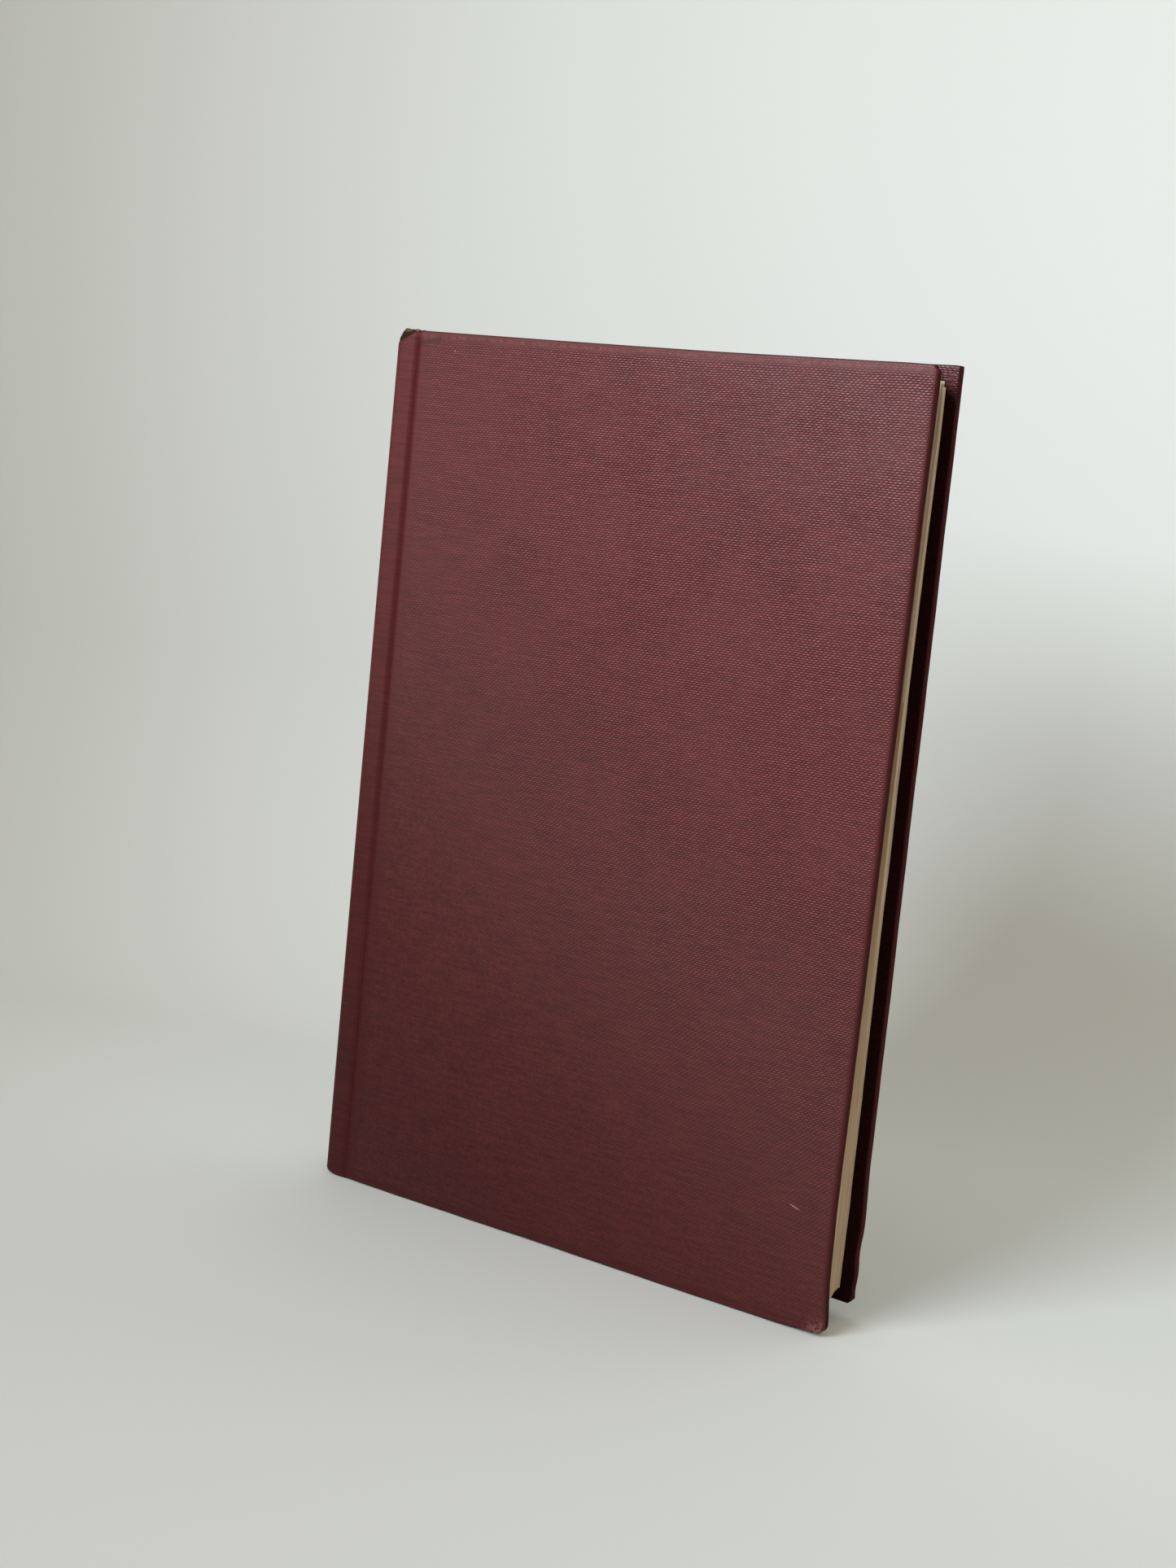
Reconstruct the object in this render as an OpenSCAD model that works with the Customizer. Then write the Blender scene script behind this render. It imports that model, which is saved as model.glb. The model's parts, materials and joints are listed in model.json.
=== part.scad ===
// Case-bound hardback book, closed and standing on its tail edges.
// X runs from the spine to the fore edge, Y from the front cover to the back cover, Z from tail to head.
// The origin is the middle of the underside. Sizes are millimetres.

/* [Book] */
// Height of the covers, tail to head
book_h = 216; // [150:1:320]
// Width over everything, spine to fore edge
book_w = 146; // [100:1:240]
// Thickness over both covers
book_t = 15.6; // [13:0.2:30]

/* [Boards] */
// Thickness of a cover board
board_t = 2; // [1.4:0.1:2.6]
// Reach of the covers past the leaves at head, tail and fore edge
square = 3; // [2:0.5:6]
// Slack between the joint line and the spine edge of a board
board_setback = 0.6; // [0.2:0.1:2]
// Radius of a covered board's corners, seen from the front
corner_r = 1.2; // [0.9:0.1:6]

/* [Cloth] */
// Thickness of the glued book cloth
cloth_t = 0.4; // [0.25:0.05:0.6]
// Radius of the cloth where it folds round a board's edge
fold_r = 0.7; // [0.4:0.1:0.9]
// Width of the cloth turned in on the inside of a board
turn_in = 15; // [8:1:20]
// Depth of the cloth turned in at the spine's head and tail
cap_turn_in = 10; // [7:0.5:10.5]
// Distance of the joint lines from the outermost line of the spine
joint_x = 7.9; // [7.6:0.1:12]
// Radius of the cloth at each side of a joint line
joint_r = 0.3; // [0.1:0.05:0.3]

/* [Spine] */
// Radius of the gently rounded spine, seen from the head
spine_r = 20; // [19:1:60]
// Radius where the spine turns into the covers
shoulder_r = 2; // [1.6:0.1:2.6]
// Thickness of the card that stiffens the cloth of the spine
inlay_t = 0.6; // [0.3:0.1:1]
// Thickness of the paper lining glued over the gauze
lining_t = 0.2; // [0.1:0.05:0.3]
// Thickness of the gauze glued to the backs of the leaves
gauze_t = 0.2; // [0.1:0.05:0.3]
// Width of the flat top of each backed shoulder
shoulder_w = 1.6; // [0.8:0.1:1.9]
// How far the gauze and the lining stop short of the leaves at head and tail
lining_short = 8; // [8:1:20]

/* [Leaves] */
// Thickness of an endpaper sheet
endpaper_t = 0.15; // [0.1:0.05:0.2]
// Depth of the hollow in the fore edge that a rounded spine leaves
fore_hollow = 1; // [0.2:0.1:2]

/* [Bands] */
// Depth of the woven bead, from the backs of the leaves
band_d = 1.4; // [1:0.1:2]
// Height of the woven bead above the leaves
band_h = 1.6; // [1:0.1:1.8]

/* [Hidden] */

CLOTH = [0.40, 0.17, 0.19];
BOARD = [0.55, 0.50, 0.42];
LEAF = [0.87, 0.80, 0.66];
ENDPAPER = [0.90, 0.85, 0.74];
BAND = [0.80, 0.74, 0.60];
CARD = [0.66, 0.57, 0.42];

past = 1;
far = 2 * spine_r;

// Main planes
spine_x = -book_w / 2;
fore_x = book_w / 2;
hinge_x = spine_x + joint_x;
board_x = hinge_x + board_setback;
leaf_fore_x = fore_x - square;
leaf_h = book_h - 2 * square;
cover_in = cloth_t + board_t;
leaf_y = book_t / 2 - cover_in - endpaper_t;
block_y = leaf_y - endpaper_t;
spine_cx = spine_x + spine_r;

// How far each layer lies inside the book's outside, at the spine and on a shoulder
inlay_in = cloth_t + inlay_t;
lining_in = inlay_in + lining_t;
leaves_in = lining_in + gauze_t;
shoulder_in = cloth_t + gauze_t;

// Half the spread of the spine's arc, where the shoulder radius of the cloth takes over
spine_half_y = book_t / 2 - shoulder_r;
inlay_angle = asin(spine_half_y / (spine_r - cloth_t));

// A backed shoulder: its flat top ends at shoulder_x and a cove falls to the leaves
shoulder_top_y = book_t / 2 - shoulder_in;
shoulder_x = shoulder_centre_x(leaves_in, shoulder_in) + shoulder_w;
cove_r = shoulder_top_y - block_y;

// Middle of a shoulder's radius, for a layer at these insets
function shoulder_centre_x(spine_in, side_in) =
    spine_cx - sqrt(pow(spine_r - spine_in - shoulder_r + side_in, 2) - pow(spine_half_y, 2));

// Section of the book's spine end out to end_x, drawn in from the outside by one amount at the
// spine and another at the sides. The shoulder radius touches the spine's arc and the side.
module spine_form(spine_in, side_in, end_x) {
    arc_r = spine_r - spine_in;
    round_r = shoulder_r - side_in;
    round_x = shoulder_centre_x(spine_in, side_in);
    side_y = book_t / 2 - side_in;
    turn = asin(spine_half_y / (arc_r - round_r));
    intersection() {
        union() {
            intersection() {
                translate([spine_cx, 0]) circle(r = arc_r, $fn = 180);
                spine_wedge(turn);
            }
            for (side = [-1, 1])
                translate([round_x, side * spine_half_y]) circle(r = round_r, $fn = 48);
            translate([round_x, -side_y]) square([end_x - round_x, 2 * side_y]);
        }
        translate([spine_x - past, -book_t]) square([end_x - spine_x + past, 2 * book_t]);
    }
}

// Triangle that opens from the middle of the spine's arc towards the spine
module spine_wedge(half_angle) {
    translate([spine_cx, 0])
        polygon([[0, 0], [-far * cos(half_angle), far * sin(half_angle)],
                 [-far * cos(half_angle), -far * sin(half_angle)]]);
}

// One layer that follows the arc of the spine, between two insets
module spine_layer(outer_in, inner_in) {
    intersection() {
        difference() {
            translate([spine_cx, 0]) circle(r = spine_r - outer_in, $fn = 180);
            translate([spine_cx, 0]) circle(r = spine_r - inner_in, $fn = 180);
        }
        spine_wedge(inlay_angle);
    }
}

// Extrudes a section from one height up by another
module between(low, tall) {
    translate([0, 0, low]) linear_extrude(height = tall) children();
}

// Round cut that softens the cloth at both sides of the two joint lines
module joint_lines() {
    for (side = [-1, 1])
        translate([hinge_x, side * book_t / 2])
            difference() {
                square(2 * joint_r, center = true);
                for (along = [-1, 1])
                    translate([along * joint_r, -side * joint_r]) circle(r = joint_r, $fn = 32);
            }
}

// Leaves: rounded and backed at the spine, with a hollow fore edge
module leaves_section() {
    hollow_r = (pow(block_y, 2) + pow(fore_hollow, 2)) / (2 * fore_hollow);
    spine_form(leaves_in, shoulder_in, shoulder_x);
    difference() {
        translate([shoulder_x, -block_y]) square([leaf_fore_x - shoulder_x, 2 * block_y]);
        translate([leaf_fore_x - fore_hollow + hollow_r, 0]) circle(r = hollow_r, $fn = 180);
    }
    for (side = [0, 1])
        mirror([0, side])
            difference() {
                translate([shoulder_x, block_y]) square(cove_r);
                translate([shoulder_x + cove_r, shoulder_top_y]) circle(r = cove_r, $fn = 48);
            }
}

module text_block() {
    color(LEAF) between(square, leaf_h) leaves_section();
}

// Loose half of an endpaper, against the outside leaf
module flyleaf() {
    start_x = shoulder_x + cove_r;
    color(ENDPAPER)
        translate([start_x, -leaf_y, square]) cube([leaf_fore_x - start_x, endpaper_t, leaf_h]);
}

// Woven bead that follows the backs of the leaves, flat below and round on top
module band() {
    inner_r = spine_r - leaves_in - band_d;
    half_turn = asin((spine_half_y - band_d) / spine_r);
    color(BAND)
        translate([spine_cx, 0, 0])
            rotate([0, 0, 180 - half_turn])
                rotate_extrude(angle = 2 * half_turn, $fn = 180) {
                    translate([inner_r, 0]) square([band_d, band_h - band_d / 2]);
                    translate([inner_r + band_d / 2, band_h - band_d / 2]) circle(d = band_d, $fn = 32);
                }
}

module head_band() {
    translate([0, 0, book_h - square]) band();
}

module tail_band() {
    translate([0, 0, square]) mirror([0, 0, 1]) band();
}

module spine_gauze() {
    color(BAND)
        between(square + lining_short, leaf_h - 2 * lining_short)
            difference() {
                spine_form(lining_in, cloth_t, shoulder_x);
                spine_form(leaves_in, shoulder_in, shoulder_x + past);
            }
}

module spine_lining() {
    color(CARD)
        between(square + lining_short, leaf_h - 2 * lining_short)
            spine_layer(inlay_in, lining_in);
}

module spine_inlay() {
    color(CARD)
        between(cloth_t, book_h - 2 * cloth_t)
            spine_layer(cloth_t, inlay_in);
}

// Cloth of the spine, from joint line to joint line, folded over the inlay at head and tail
module spine_cloth() {
    color(CLOTH) {
        between(0, book_h)
            difference() {
                spine_form(0, 0, hinge_x);
                spine_form(cloth_t, cloth_t, hinge_x + past);
                joint_lines();
            }
        for (end = [0, 1])
            translate([0, 0, end * book_h]) mirror([0, 0, end]) spine_cap();
    }
}

// Fold of the cloth at one end of the spine
module spine_cap() {
    difference() {
        between(0, square)
            difference() {
                spine_form(cloth_t, cloth_t, hinge_x);
                spine_form(leaves_in, 2 * cloth_t, hinge_x + past);
            }
        between(cloth_t, square) spine_layer(cloth_t, inlay_in);
    }
    between(square, cap_turn_in - square) spine_layer(inlay_in, leaves_in);
}

// Front elevation of a cover, from start_x to the fore edge, drawn in by inset
module cover_outline(start_x, inset) {
    round_r = corner_r - inset;
    end_x = fore_x - inset;
    top_z = book_h - inset;
    translate([start_x, inset + round_r]) square([end_x - start_x, top_z - inset - 2 * round_r]);
    translate([start_x, inset]) square([end_x - round_r - start_x, top_z - inset]);
    for (z = [inset + round_r, top_z - round_r])
        translate([end_x - round_r, z]) circle(r = round_r, $fn = 32);
}

// Stands an elevation up at the front of the book, from a depth behind its face to another
module front_slab(from_in, to_in) {
    translate([0, -book_t / 2 + to_in, 0])
        rotate([90, 0, 0]) linear_extrude(height = to_in - from_in) children();
}

// Board that starts at start_x, pressed thinner on the inside where the cloth is turned in
module board_body(start_x) {
    difference() {
        front_slab(cloth_t, cover_in) cover_outline(start_x, cloth_t);
        front_slab(cover_in - cloth_t, cover_in + past)
            difference() {
                cover_outline(start_x - past, 0);
                translate([start_x - 2 * past, turn_in])
                    square([fore_x - turn_in - start_x + 2 * past, book_h - 2 * turn_in]);
            }
    }
}

module board() {
    color(BOARD) board_body(board_x);
}

// Corner of a covered board: a disc whose rim is rounded by the folded cloth
module covered_corner() {
    rotate_extrude($fn = 32)
        intersection() {
            square([corner_r, cover_in]);
            union() {
                square([corner_r - fold_r, cover_in]);
                translate([0, fold_r]) square([corner_r, cover_in - 2 * fold_r]);
                for (y = [fold_r, cover_in - fold_r])
                    translate([corner_r - fold_r, y]) circle(r = fold_r, $fn = 24);
            }
        }
}

// Outside of a covered board, cut off square at the joint line
module covered_board() {
    intersection() {
        hull()
            for (x = [hinge_x - book_t, fore_x - corner_r], z = [corner_r, book_h - corner_r])
                translate([x, -book_t / 2 + cover_in, z]) rotate([90, 0, 0]) covered_corner();
        translate([hinge_x, -book_t, -past]) cube([book_w, 2 * book_t, book_h + 2 * past]);
    }
}

// Cloth that covers one board: what is left of the covered board once the board is taken out
module cover_cloth() {
    color(CLOTH)
        difference() {
            covered_board();
            board_body(hinge_x - past);
            between(-past, book_h + 2 * past) joint_lines();
        }
}

// Half of an endpaper that is glued to the board and over the cloth turned in
module pastedown() {
    color(ENDPAPER)
        front_slab(cover_in, cover_in + endpaper_t)
            translate([board_x, square]) square([leaf_fore_x - board_x, leaf_h]);
}

// The back of the book mirrors its front
module at_back() {
    mirror([0, 1, 0]) children();
}

text_block();
flyleaf();  // front_flyleaf
at_back() flyleaf();  // back_flyleaf
head_band();
tail_band();
spine_gauze();
spine_lining();
spine_inlay();
spine_cloth();
board();  // front_board
cover_cloth();  // front_cloth
pastedown();  // front_pastedown
at_back() board();  // back_board
at_back() cover_cloth();  // back_cloth
at_back() pastedown();  // back_pastedown
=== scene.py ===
"""A hardback book in maroon cloth that stands on its tail edges: its surfaces, finishes, light and view.

Lengths are millimetres in the frame of the part until a mesh is made. X runs from the spine to the fore
edge, Y from the front cover to the back cover, and Z from tail to head.
"""

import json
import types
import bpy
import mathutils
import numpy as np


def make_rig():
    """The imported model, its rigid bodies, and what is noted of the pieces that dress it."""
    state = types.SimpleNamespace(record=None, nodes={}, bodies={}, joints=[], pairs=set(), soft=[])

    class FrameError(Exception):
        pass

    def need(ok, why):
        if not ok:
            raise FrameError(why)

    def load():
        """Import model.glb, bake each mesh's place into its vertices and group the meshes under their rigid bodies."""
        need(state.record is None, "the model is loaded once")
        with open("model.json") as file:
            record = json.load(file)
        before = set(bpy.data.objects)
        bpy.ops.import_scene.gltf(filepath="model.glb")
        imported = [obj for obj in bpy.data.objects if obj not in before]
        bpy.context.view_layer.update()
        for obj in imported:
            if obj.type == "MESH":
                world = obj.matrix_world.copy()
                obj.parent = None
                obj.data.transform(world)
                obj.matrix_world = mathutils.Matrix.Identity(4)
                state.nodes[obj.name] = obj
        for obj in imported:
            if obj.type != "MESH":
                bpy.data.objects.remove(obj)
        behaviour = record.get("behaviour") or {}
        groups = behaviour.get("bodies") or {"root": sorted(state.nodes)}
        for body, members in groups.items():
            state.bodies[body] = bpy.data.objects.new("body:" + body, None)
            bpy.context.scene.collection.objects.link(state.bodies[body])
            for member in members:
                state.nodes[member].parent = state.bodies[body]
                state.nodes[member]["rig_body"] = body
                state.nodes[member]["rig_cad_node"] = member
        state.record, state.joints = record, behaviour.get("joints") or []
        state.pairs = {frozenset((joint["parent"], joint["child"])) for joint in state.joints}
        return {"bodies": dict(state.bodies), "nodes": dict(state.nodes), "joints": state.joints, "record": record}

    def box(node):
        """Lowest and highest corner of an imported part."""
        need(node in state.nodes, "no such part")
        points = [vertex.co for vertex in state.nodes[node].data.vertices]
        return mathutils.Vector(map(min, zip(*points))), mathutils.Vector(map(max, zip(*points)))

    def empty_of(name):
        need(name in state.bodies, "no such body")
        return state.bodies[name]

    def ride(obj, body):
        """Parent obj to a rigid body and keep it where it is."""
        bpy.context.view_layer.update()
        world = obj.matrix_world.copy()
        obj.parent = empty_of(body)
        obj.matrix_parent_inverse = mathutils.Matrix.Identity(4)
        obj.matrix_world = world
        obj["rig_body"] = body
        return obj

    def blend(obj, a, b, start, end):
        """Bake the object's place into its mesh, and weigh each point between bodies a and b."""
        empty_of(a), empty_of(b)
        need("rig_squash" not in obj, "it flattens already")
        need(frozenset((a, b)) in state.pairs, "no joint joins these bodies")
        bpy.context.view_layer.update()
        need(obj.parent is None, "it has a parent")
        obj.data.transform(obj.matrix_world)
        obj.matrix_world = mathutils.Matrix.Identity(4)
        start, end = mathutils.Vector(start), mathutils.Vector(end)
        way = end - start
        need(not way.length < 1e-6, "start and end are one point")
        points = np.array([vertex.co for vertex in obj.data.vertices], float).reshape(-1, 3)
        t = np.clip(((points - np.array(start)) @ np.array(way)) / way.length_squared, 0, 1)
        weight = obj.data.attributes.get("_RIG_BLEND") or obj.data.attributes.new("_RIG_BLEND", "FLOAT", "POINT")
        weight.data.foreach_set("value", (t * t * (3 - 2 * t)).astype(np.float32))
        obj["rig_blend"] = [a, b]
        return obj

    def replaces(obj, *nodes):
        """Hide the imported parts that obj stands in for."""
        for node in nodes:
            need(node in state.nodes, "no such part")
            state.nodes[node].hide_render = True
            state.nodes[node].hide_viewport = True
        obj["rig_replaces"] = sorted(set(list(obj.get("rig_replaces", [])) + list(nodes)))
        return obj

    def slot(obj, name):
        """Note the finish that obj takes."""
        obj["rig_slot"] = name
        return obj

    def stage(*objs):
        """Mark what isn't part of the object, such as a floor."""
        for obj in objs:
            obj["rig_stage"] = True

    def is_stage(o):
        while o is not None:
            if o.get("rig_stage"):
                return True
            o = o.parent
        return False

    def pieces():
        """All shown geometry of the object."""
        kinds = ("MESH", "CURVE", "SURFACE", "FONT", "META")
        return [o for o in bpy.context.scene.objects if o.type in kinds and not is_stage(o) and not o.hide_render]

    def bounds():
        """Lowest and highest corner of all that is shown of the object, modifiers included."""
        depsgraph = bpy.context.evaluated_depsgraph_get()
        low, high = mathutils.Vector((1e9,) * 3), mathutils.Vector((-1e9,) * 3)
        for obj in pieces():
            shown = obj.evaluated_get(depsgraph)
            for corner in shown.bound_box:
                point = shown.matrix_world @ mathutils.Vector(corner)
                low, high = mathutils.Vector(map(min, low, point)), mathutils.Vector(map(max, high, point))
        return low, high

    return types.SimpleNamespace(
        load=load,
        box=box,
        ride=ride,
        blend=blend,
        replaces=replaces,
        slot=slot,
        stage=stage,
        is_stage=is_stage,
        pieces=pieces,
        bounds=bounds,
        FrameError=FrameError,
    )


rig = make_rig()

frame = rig.load()
cad_low, cad_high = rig.bounds()

import json
import math

import bmesh
import bpy
import numpy as np
from mathutils import Matrix

MM = 0.001
FRONT = -1
BACK = 1

# Sizes read from the frame


def corners(node):
    """Lowest and highest corner of a CAD node, in millimetres."""
    low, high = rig.box(node)
    return np.array(low) / MM, np.array(high) / MM


SPINE_X = cad_low.x / MM
FORE_X = cad_high.x / MM
HALF_T = cad_high.y / MM
BOOK_H = cad_high.z / MM

cloth_low, _ = corners("front_cloth")
board_low, board_high = corners("front_board")
leaves_low, leaves_high = corners("text_block")
fly_low, fly_high = corners("front_flyleaf")
_, inlay_high = corners("spine_inlay")
band_low, band_high = corners("head_band")

HINGE_X = cloth_low[0]
BOARD_X = board_low[0]
CLOTH_T = board_low[1] + HALF_T
COVER_T = board_high[1] + HALF_T
LEAF_X = leaves_high[0]
TAIL_Z = leaves_low[2]
HEAD_Z = leaves_high[2]
SHOULDER_Y = leaves_high[1]
BLOCK_Y = -fly_high[1]
LEAF_Y = -fly_low[1]
GUTTER_X = fly_low[0]

# Sizes that the frame doesn't give, as the construction has them
SPINE_R = 20.0
SHOULDER_R = 2.0
CORNER_R = 1.2
FOLD_R = 0.7
SIDE_FOLD_R = 0.42
EDGE_R = 0.45
TURN_IN = 15.0
CAP_TURN_IN = 10.0
CAP_SIDE_TURN_IN = 2.8
LEAVES_IN = 1.4
INLAY_IN = 1.0
FORE_HOLLOW = 1.0
BAND_TURN = 0.62
BAND_SLANT = 0.9
COVE_R = SHOULDER_Y - BLOCK_Y

# The cloth and its groove at the joint
SHEET_T = 0.34
CREASE_DEPTH = 0.12
CREASE_HALF = 1.6
JOINT_IN = 1.2

# How far the blow on the tail fore corner of the back pushed the cover up and outward, and its endpaper
# and the last leaves up
KNOCK_CLOTH = 3.3
KNOCK_OUT = 0.4
KNOCK_PASTEDOWN = 4.0
KNOCK_LEAVES = 4.1

# How far the fore edge of each cover leans outward, at tail and head
LEAN = {FRONT: (0.51, -0.32), BACK: (1.62, -1.90)}

SPINE_CX = SPINE_X + SPINE_R
ROUND_X = SPINE_CX - math.sqrt((SPINE_R - SHOULDER_R) ** 2 - (HALF_T - SHOULDER_R) ** 2)

random = np.random.default_rng(7)


# Shape helpers


def stack(*parts):
    """Coordinates put together as places or marks. A bare number counts for all of them."""
    return np.stack(np.broadcast_arrays(*parts), axis=-1)


def joined(*parts):
    """Arrays end to end."""
    return np.concatenate(parts)


def run_length(x, y):
    """Length along a path of points, from its start."""
    return joined([0], np.cumsum(np.hypot(np.diff(x), np.diff(y))))


def ease(value, start, end):
    """Smooth step: 0 before start, 1 after end, and 3t^2 - 2t^3 between them."""
    t = np.clip((value - start) / (end - start), 0, 1)
    return t * t * (3 - 2 * t)


def spaced(start, end, step):
    """Even samples from start to end, about a step apart."""
    return np.linspace(start, end, max(2, int(round(abs(end - start) / step)) + 1))


def graded(*stops):
    """Samples through several (place, step) stops: each stretch is sampled at the step of its first stop."""
    parts = [spaced(a[0], b[0], a[1])[:-1] for a, b in zip(stops, stops[1:])]
    return joined(*parts, [float(stops[-1][0])])


def wander(along, seed, height):
    """Slow unevenness of an edge: three sines of unlike length and chance phase, added up."""
    phase = np.random.default_rng(seed).uniform(0, 2 * math.pi, 3)
    total = 0
    for share, length, turn in zip((0.5, 0.3, 0.2), (71.0, 29.0, 11.0), phase):
        total = total + share * np.sin(2 * math.pi * along / length + turn)
    return height * total


def lean(places):
    """The covers' twist. A point's Y grows by its side's lean, which rises evenly from nothing at the
    joint to the full amount at the fore edge, and evenly from its tail value to its head value. Between
    the flyleaves a point moves in proportion to its distance from the middle leaf."""
    x, y, z = np.moveaxis(places, -1, 0)
    reach = np.clip((x - HINGE_X) / (FORE_X - HINGE_X), 0, 1)
    front, back = (np.interp(z, (0, BOOK_H), LEAN[side]) for side in (FRONT, BACK))
    share = np.clip(y / LEAF_Y, -1, 1)
    moved = np.where(share < 0, front, back) * reach * share
    return stack(x, y + moved, z)


def box_patches(point, s, w, z):
    """Six grids that close a box of parameters s, w and z, which run along X, Y and Z. point(s, w, z)
    gives the places and the pattern marks."""
    lines = (s, w, z)
    patches = []
    for fixed, across, up, outer in ((2, 0, 1, -1), (1, 0, 2, 0), (0, 1, 2, -1)):
        grids = [None, None, None]
        grids[across], grids[up] = np.meshgrid(lines[across], lines[up])
        grids[fixed] = np.full(grids[up].shape, float(lines[fixed][outer]))
        patches.append(point(*grids))
        grids[fixed] = np.full(grids[up].shape, float(lines[fixed][-1 - outer]))
        patches.append(point(*(grid[:, ::-1] for grid in grids)))
    return patches


def grid_quads(rows, columns, first):
    """Quads of a grid whose points are numbered row by row from first."""
    r, c = np.meshgrid(np.arange(rows - 1), np.arange(columns - 1), indexing="ij")
    a = (first + r * columns + c).ravel()
    return stack(a, a + 1, a + columns + 1, a + columns)


def make_piece(name, patches, turn_over=False):
    """One mesh from grids of (places, pattern marks), with the marks as its UV map in millimetres. Points
    that meet are merged, and faces that merging left without area are removed."""
    places, marks, quads, count = [], [], [], 0
    for place, mark in patches:
        rows, columns = place.shape[:2]
        places.append(place.reshape(-1, 3))
        marks.append(mark.reshape(-1, 2))
        quads.append(grid_quads(rows, columns, count))
        count += rows * columns
    places, marks, quads = joined(*places), joined(*marks), joined(*quads)
    if turn_over:
        quads = quads[:, ::-1]
    mesh = bpy.data.meshes.new(name)
    mesh.from_pydata((places * MM).tolist(), [], quads.tolist())
    uv = mesh.uv_layers.new(name="pattern")
    uv.data.foreach_set("uv", marks[quads.ravel()].ravel())
    work = bmesh.new()
    work.from_mesh(mesh)
    bmesh.ops.remove_doubles(work, verts=work.verts, dist=2e-6)
    bmesh.ops.dissolve_degenerate(work, edges=work.edges, dist=1e-7)
    work.to_mesh(mesh)
    work.free()
    mesh.polygons.foreach_set("use_smooth", [True] * len(mesh.polygons))
    mesh.update()
    piece = bpy.data.objects.new(name, mesh)
    bpy.context.scene.collection.objects.link(piece)
    return piece


def finish_piece(piece, material, slot, nodes=(), sharp=35):
    """Gives a piece its material, its slot and the nodes it stands for. Edges sharper than the angle in
    degrees stay sharp."""
    piece.data.materials.append(material)
    piece.data.set_sharp_from_angle(angle=math.radians(sharp))
    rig.slot(piece, slot)
    if nodes:
        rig.replaces(piece, *nodes)


def make_solid(name, patches, material, slot, nodes, body, turn_over=False, sharp=35):
    """A closed piece that moves with one body."""
    piece = make_piece(name, patches, turn_over)
    finish_piece(piece, material, slot, nodes, sharp)
    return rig.ride(piece, body)


def thicken(piece, thickness):
    """Gives a sheet its thickness behind its outer surface."""
    wall = piece.modifiers.new("thickness", "SOLIDIFY")
    wall.thickness = thickness * MM
    wall.offset = -1
    wall.use_rim = True


# Covers


def dress_cover(places, side):
    """Takes a place on the front cover, as cut, to either cover as it is worn: a head edge and a fore edge
    that wander, corners worn round or pressed square, a tail corner knocked up or spread, and the lean."""
    x, y, z = np.moveaxis(places, -1, 0)
    head_share = ease(z, BOOK_H - 25, BOOK_H)
    tail_share = ease(-z, -25, 0)
    fore_share = ease(x, FORE_X - 25, FORE_X)
    for radius, squared, height, inward in WORN_CORNERS[side]:
        x, z = round_corner(x, z, radius, squared, height, inward)
    head_line = np.interp(x, *zip(*HEAD_LINES[side]))
    z = z + head_share * head_line + tail_share * (0.14 + wander(x, 21 + side, 0.14))
    x = x + fore_share * wander(z, 31 + side, 0.07)
    if side == BACK:
        knocked = knocked_up(x, z)
        dents = 0.3 * bump(z, 24.0, 7.0) - 0.25 * bump(z, 16.0, 3.5) - 0.35 * bump(z, 3.0, 4.0)
        x = x + fore_share * (0.2 + dents)
        z = z + KNOCK_CLOTH * knocked
        y = y - KNOCK_OUT * knocked
    else:
        x = x + fore_share * (0.05 + 0.3 * ease(-z, -30, -12) + 0.85 * ease(-z, -14, -1))
        z = z + 0.45 * tail_share * ease(x, FORE_X - 14, FORE_X)
    return lean(stack(x, y * -side, z))


def knocked_up(x, z):
    """Share of the blow that pushed the back cover's tail fore corner up, full at the corner."""
    return ease(x, FORE_X - 24, FORE_X - 5) * ease(-z, -16, -1)


# Radius, whether pressed square, height of the corner and direction of Z into the cover, for the fore
# corners of each cover
WORN_CORNERS = {
    FRONT: ((2.3, False, 0.0, 1), (1.5, False, BOOK_H, -1)),
    BACK: ((1.3, False, 0.0, 1), (CORNER_R, True, BOOK_H, -1)),
}

# Offsets of the head edges from level, by X
HEAD_LINES = {
    FRONT: ((-65, -0.1), (-55, -0.2), (-24, -0.4), (0, -0.5), (20, -0.55), (41, -0.4), (58, -0.3), (66, -0.2),
            (73, -0.3)),
    BACK: ((-65, -0.2), (0, -0.1), (45, 0.15), (60, 0.45), (73, 0.6)),
}


def bump(value, middle, half):
    """A bell, 1 at its middle and about a third at half its width."""
    return np.exp(-(((value - middle) / half) ** 2))


def round_corner(x, z, radius, squared, height, inward):
    """Rounds a fore corner, or presses a round one square. Seen from the centre of rounding, a point in the
    corner square is drawn in by the larger of its two distances over their hypotenuse, so the square becomes
    a disc. Pressing square moves it out by three quarters of the inverse."""
    out_x = x - (FORE_X - radius)
    out_z = (height + inward * radius - z) * inward
    inside = (out_x > 0) & (out_z > 0)
    size = np.hypot(out_x, out_z)
    far = np.maximum(out_x, out_z)
    draw = np.where(inside, far / np.where(size > 0, size, 1), 1)
    if squared:
        draw = np.where(inside, 0.25 + 0.75 * size / np.where(far > 0, far, 1), 1)
    new_x = np.where(inside, FORE_X - radius + out_x * draw, x)
    new_z = np.where(inside, height + inward * radius - inward * out_z * draw, z)
    return new_x, new_z


def crease(x):
    """Depth of the groove at the joint, which eases out on both sides of it."""
    return CREASE_DEPTH * (1 - ease(np.abs(x - HINGE_X), 0, CREASE_HALF))


def cover_inside(x):
    """Depth of the inside of a cover behind its face: that of the covered board, less at the joint."""
    return JOINT_IN + (COVER_T - JOINT_IN) * ease(x, HINGE_X, BOARD_X + 0.2)


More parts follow.
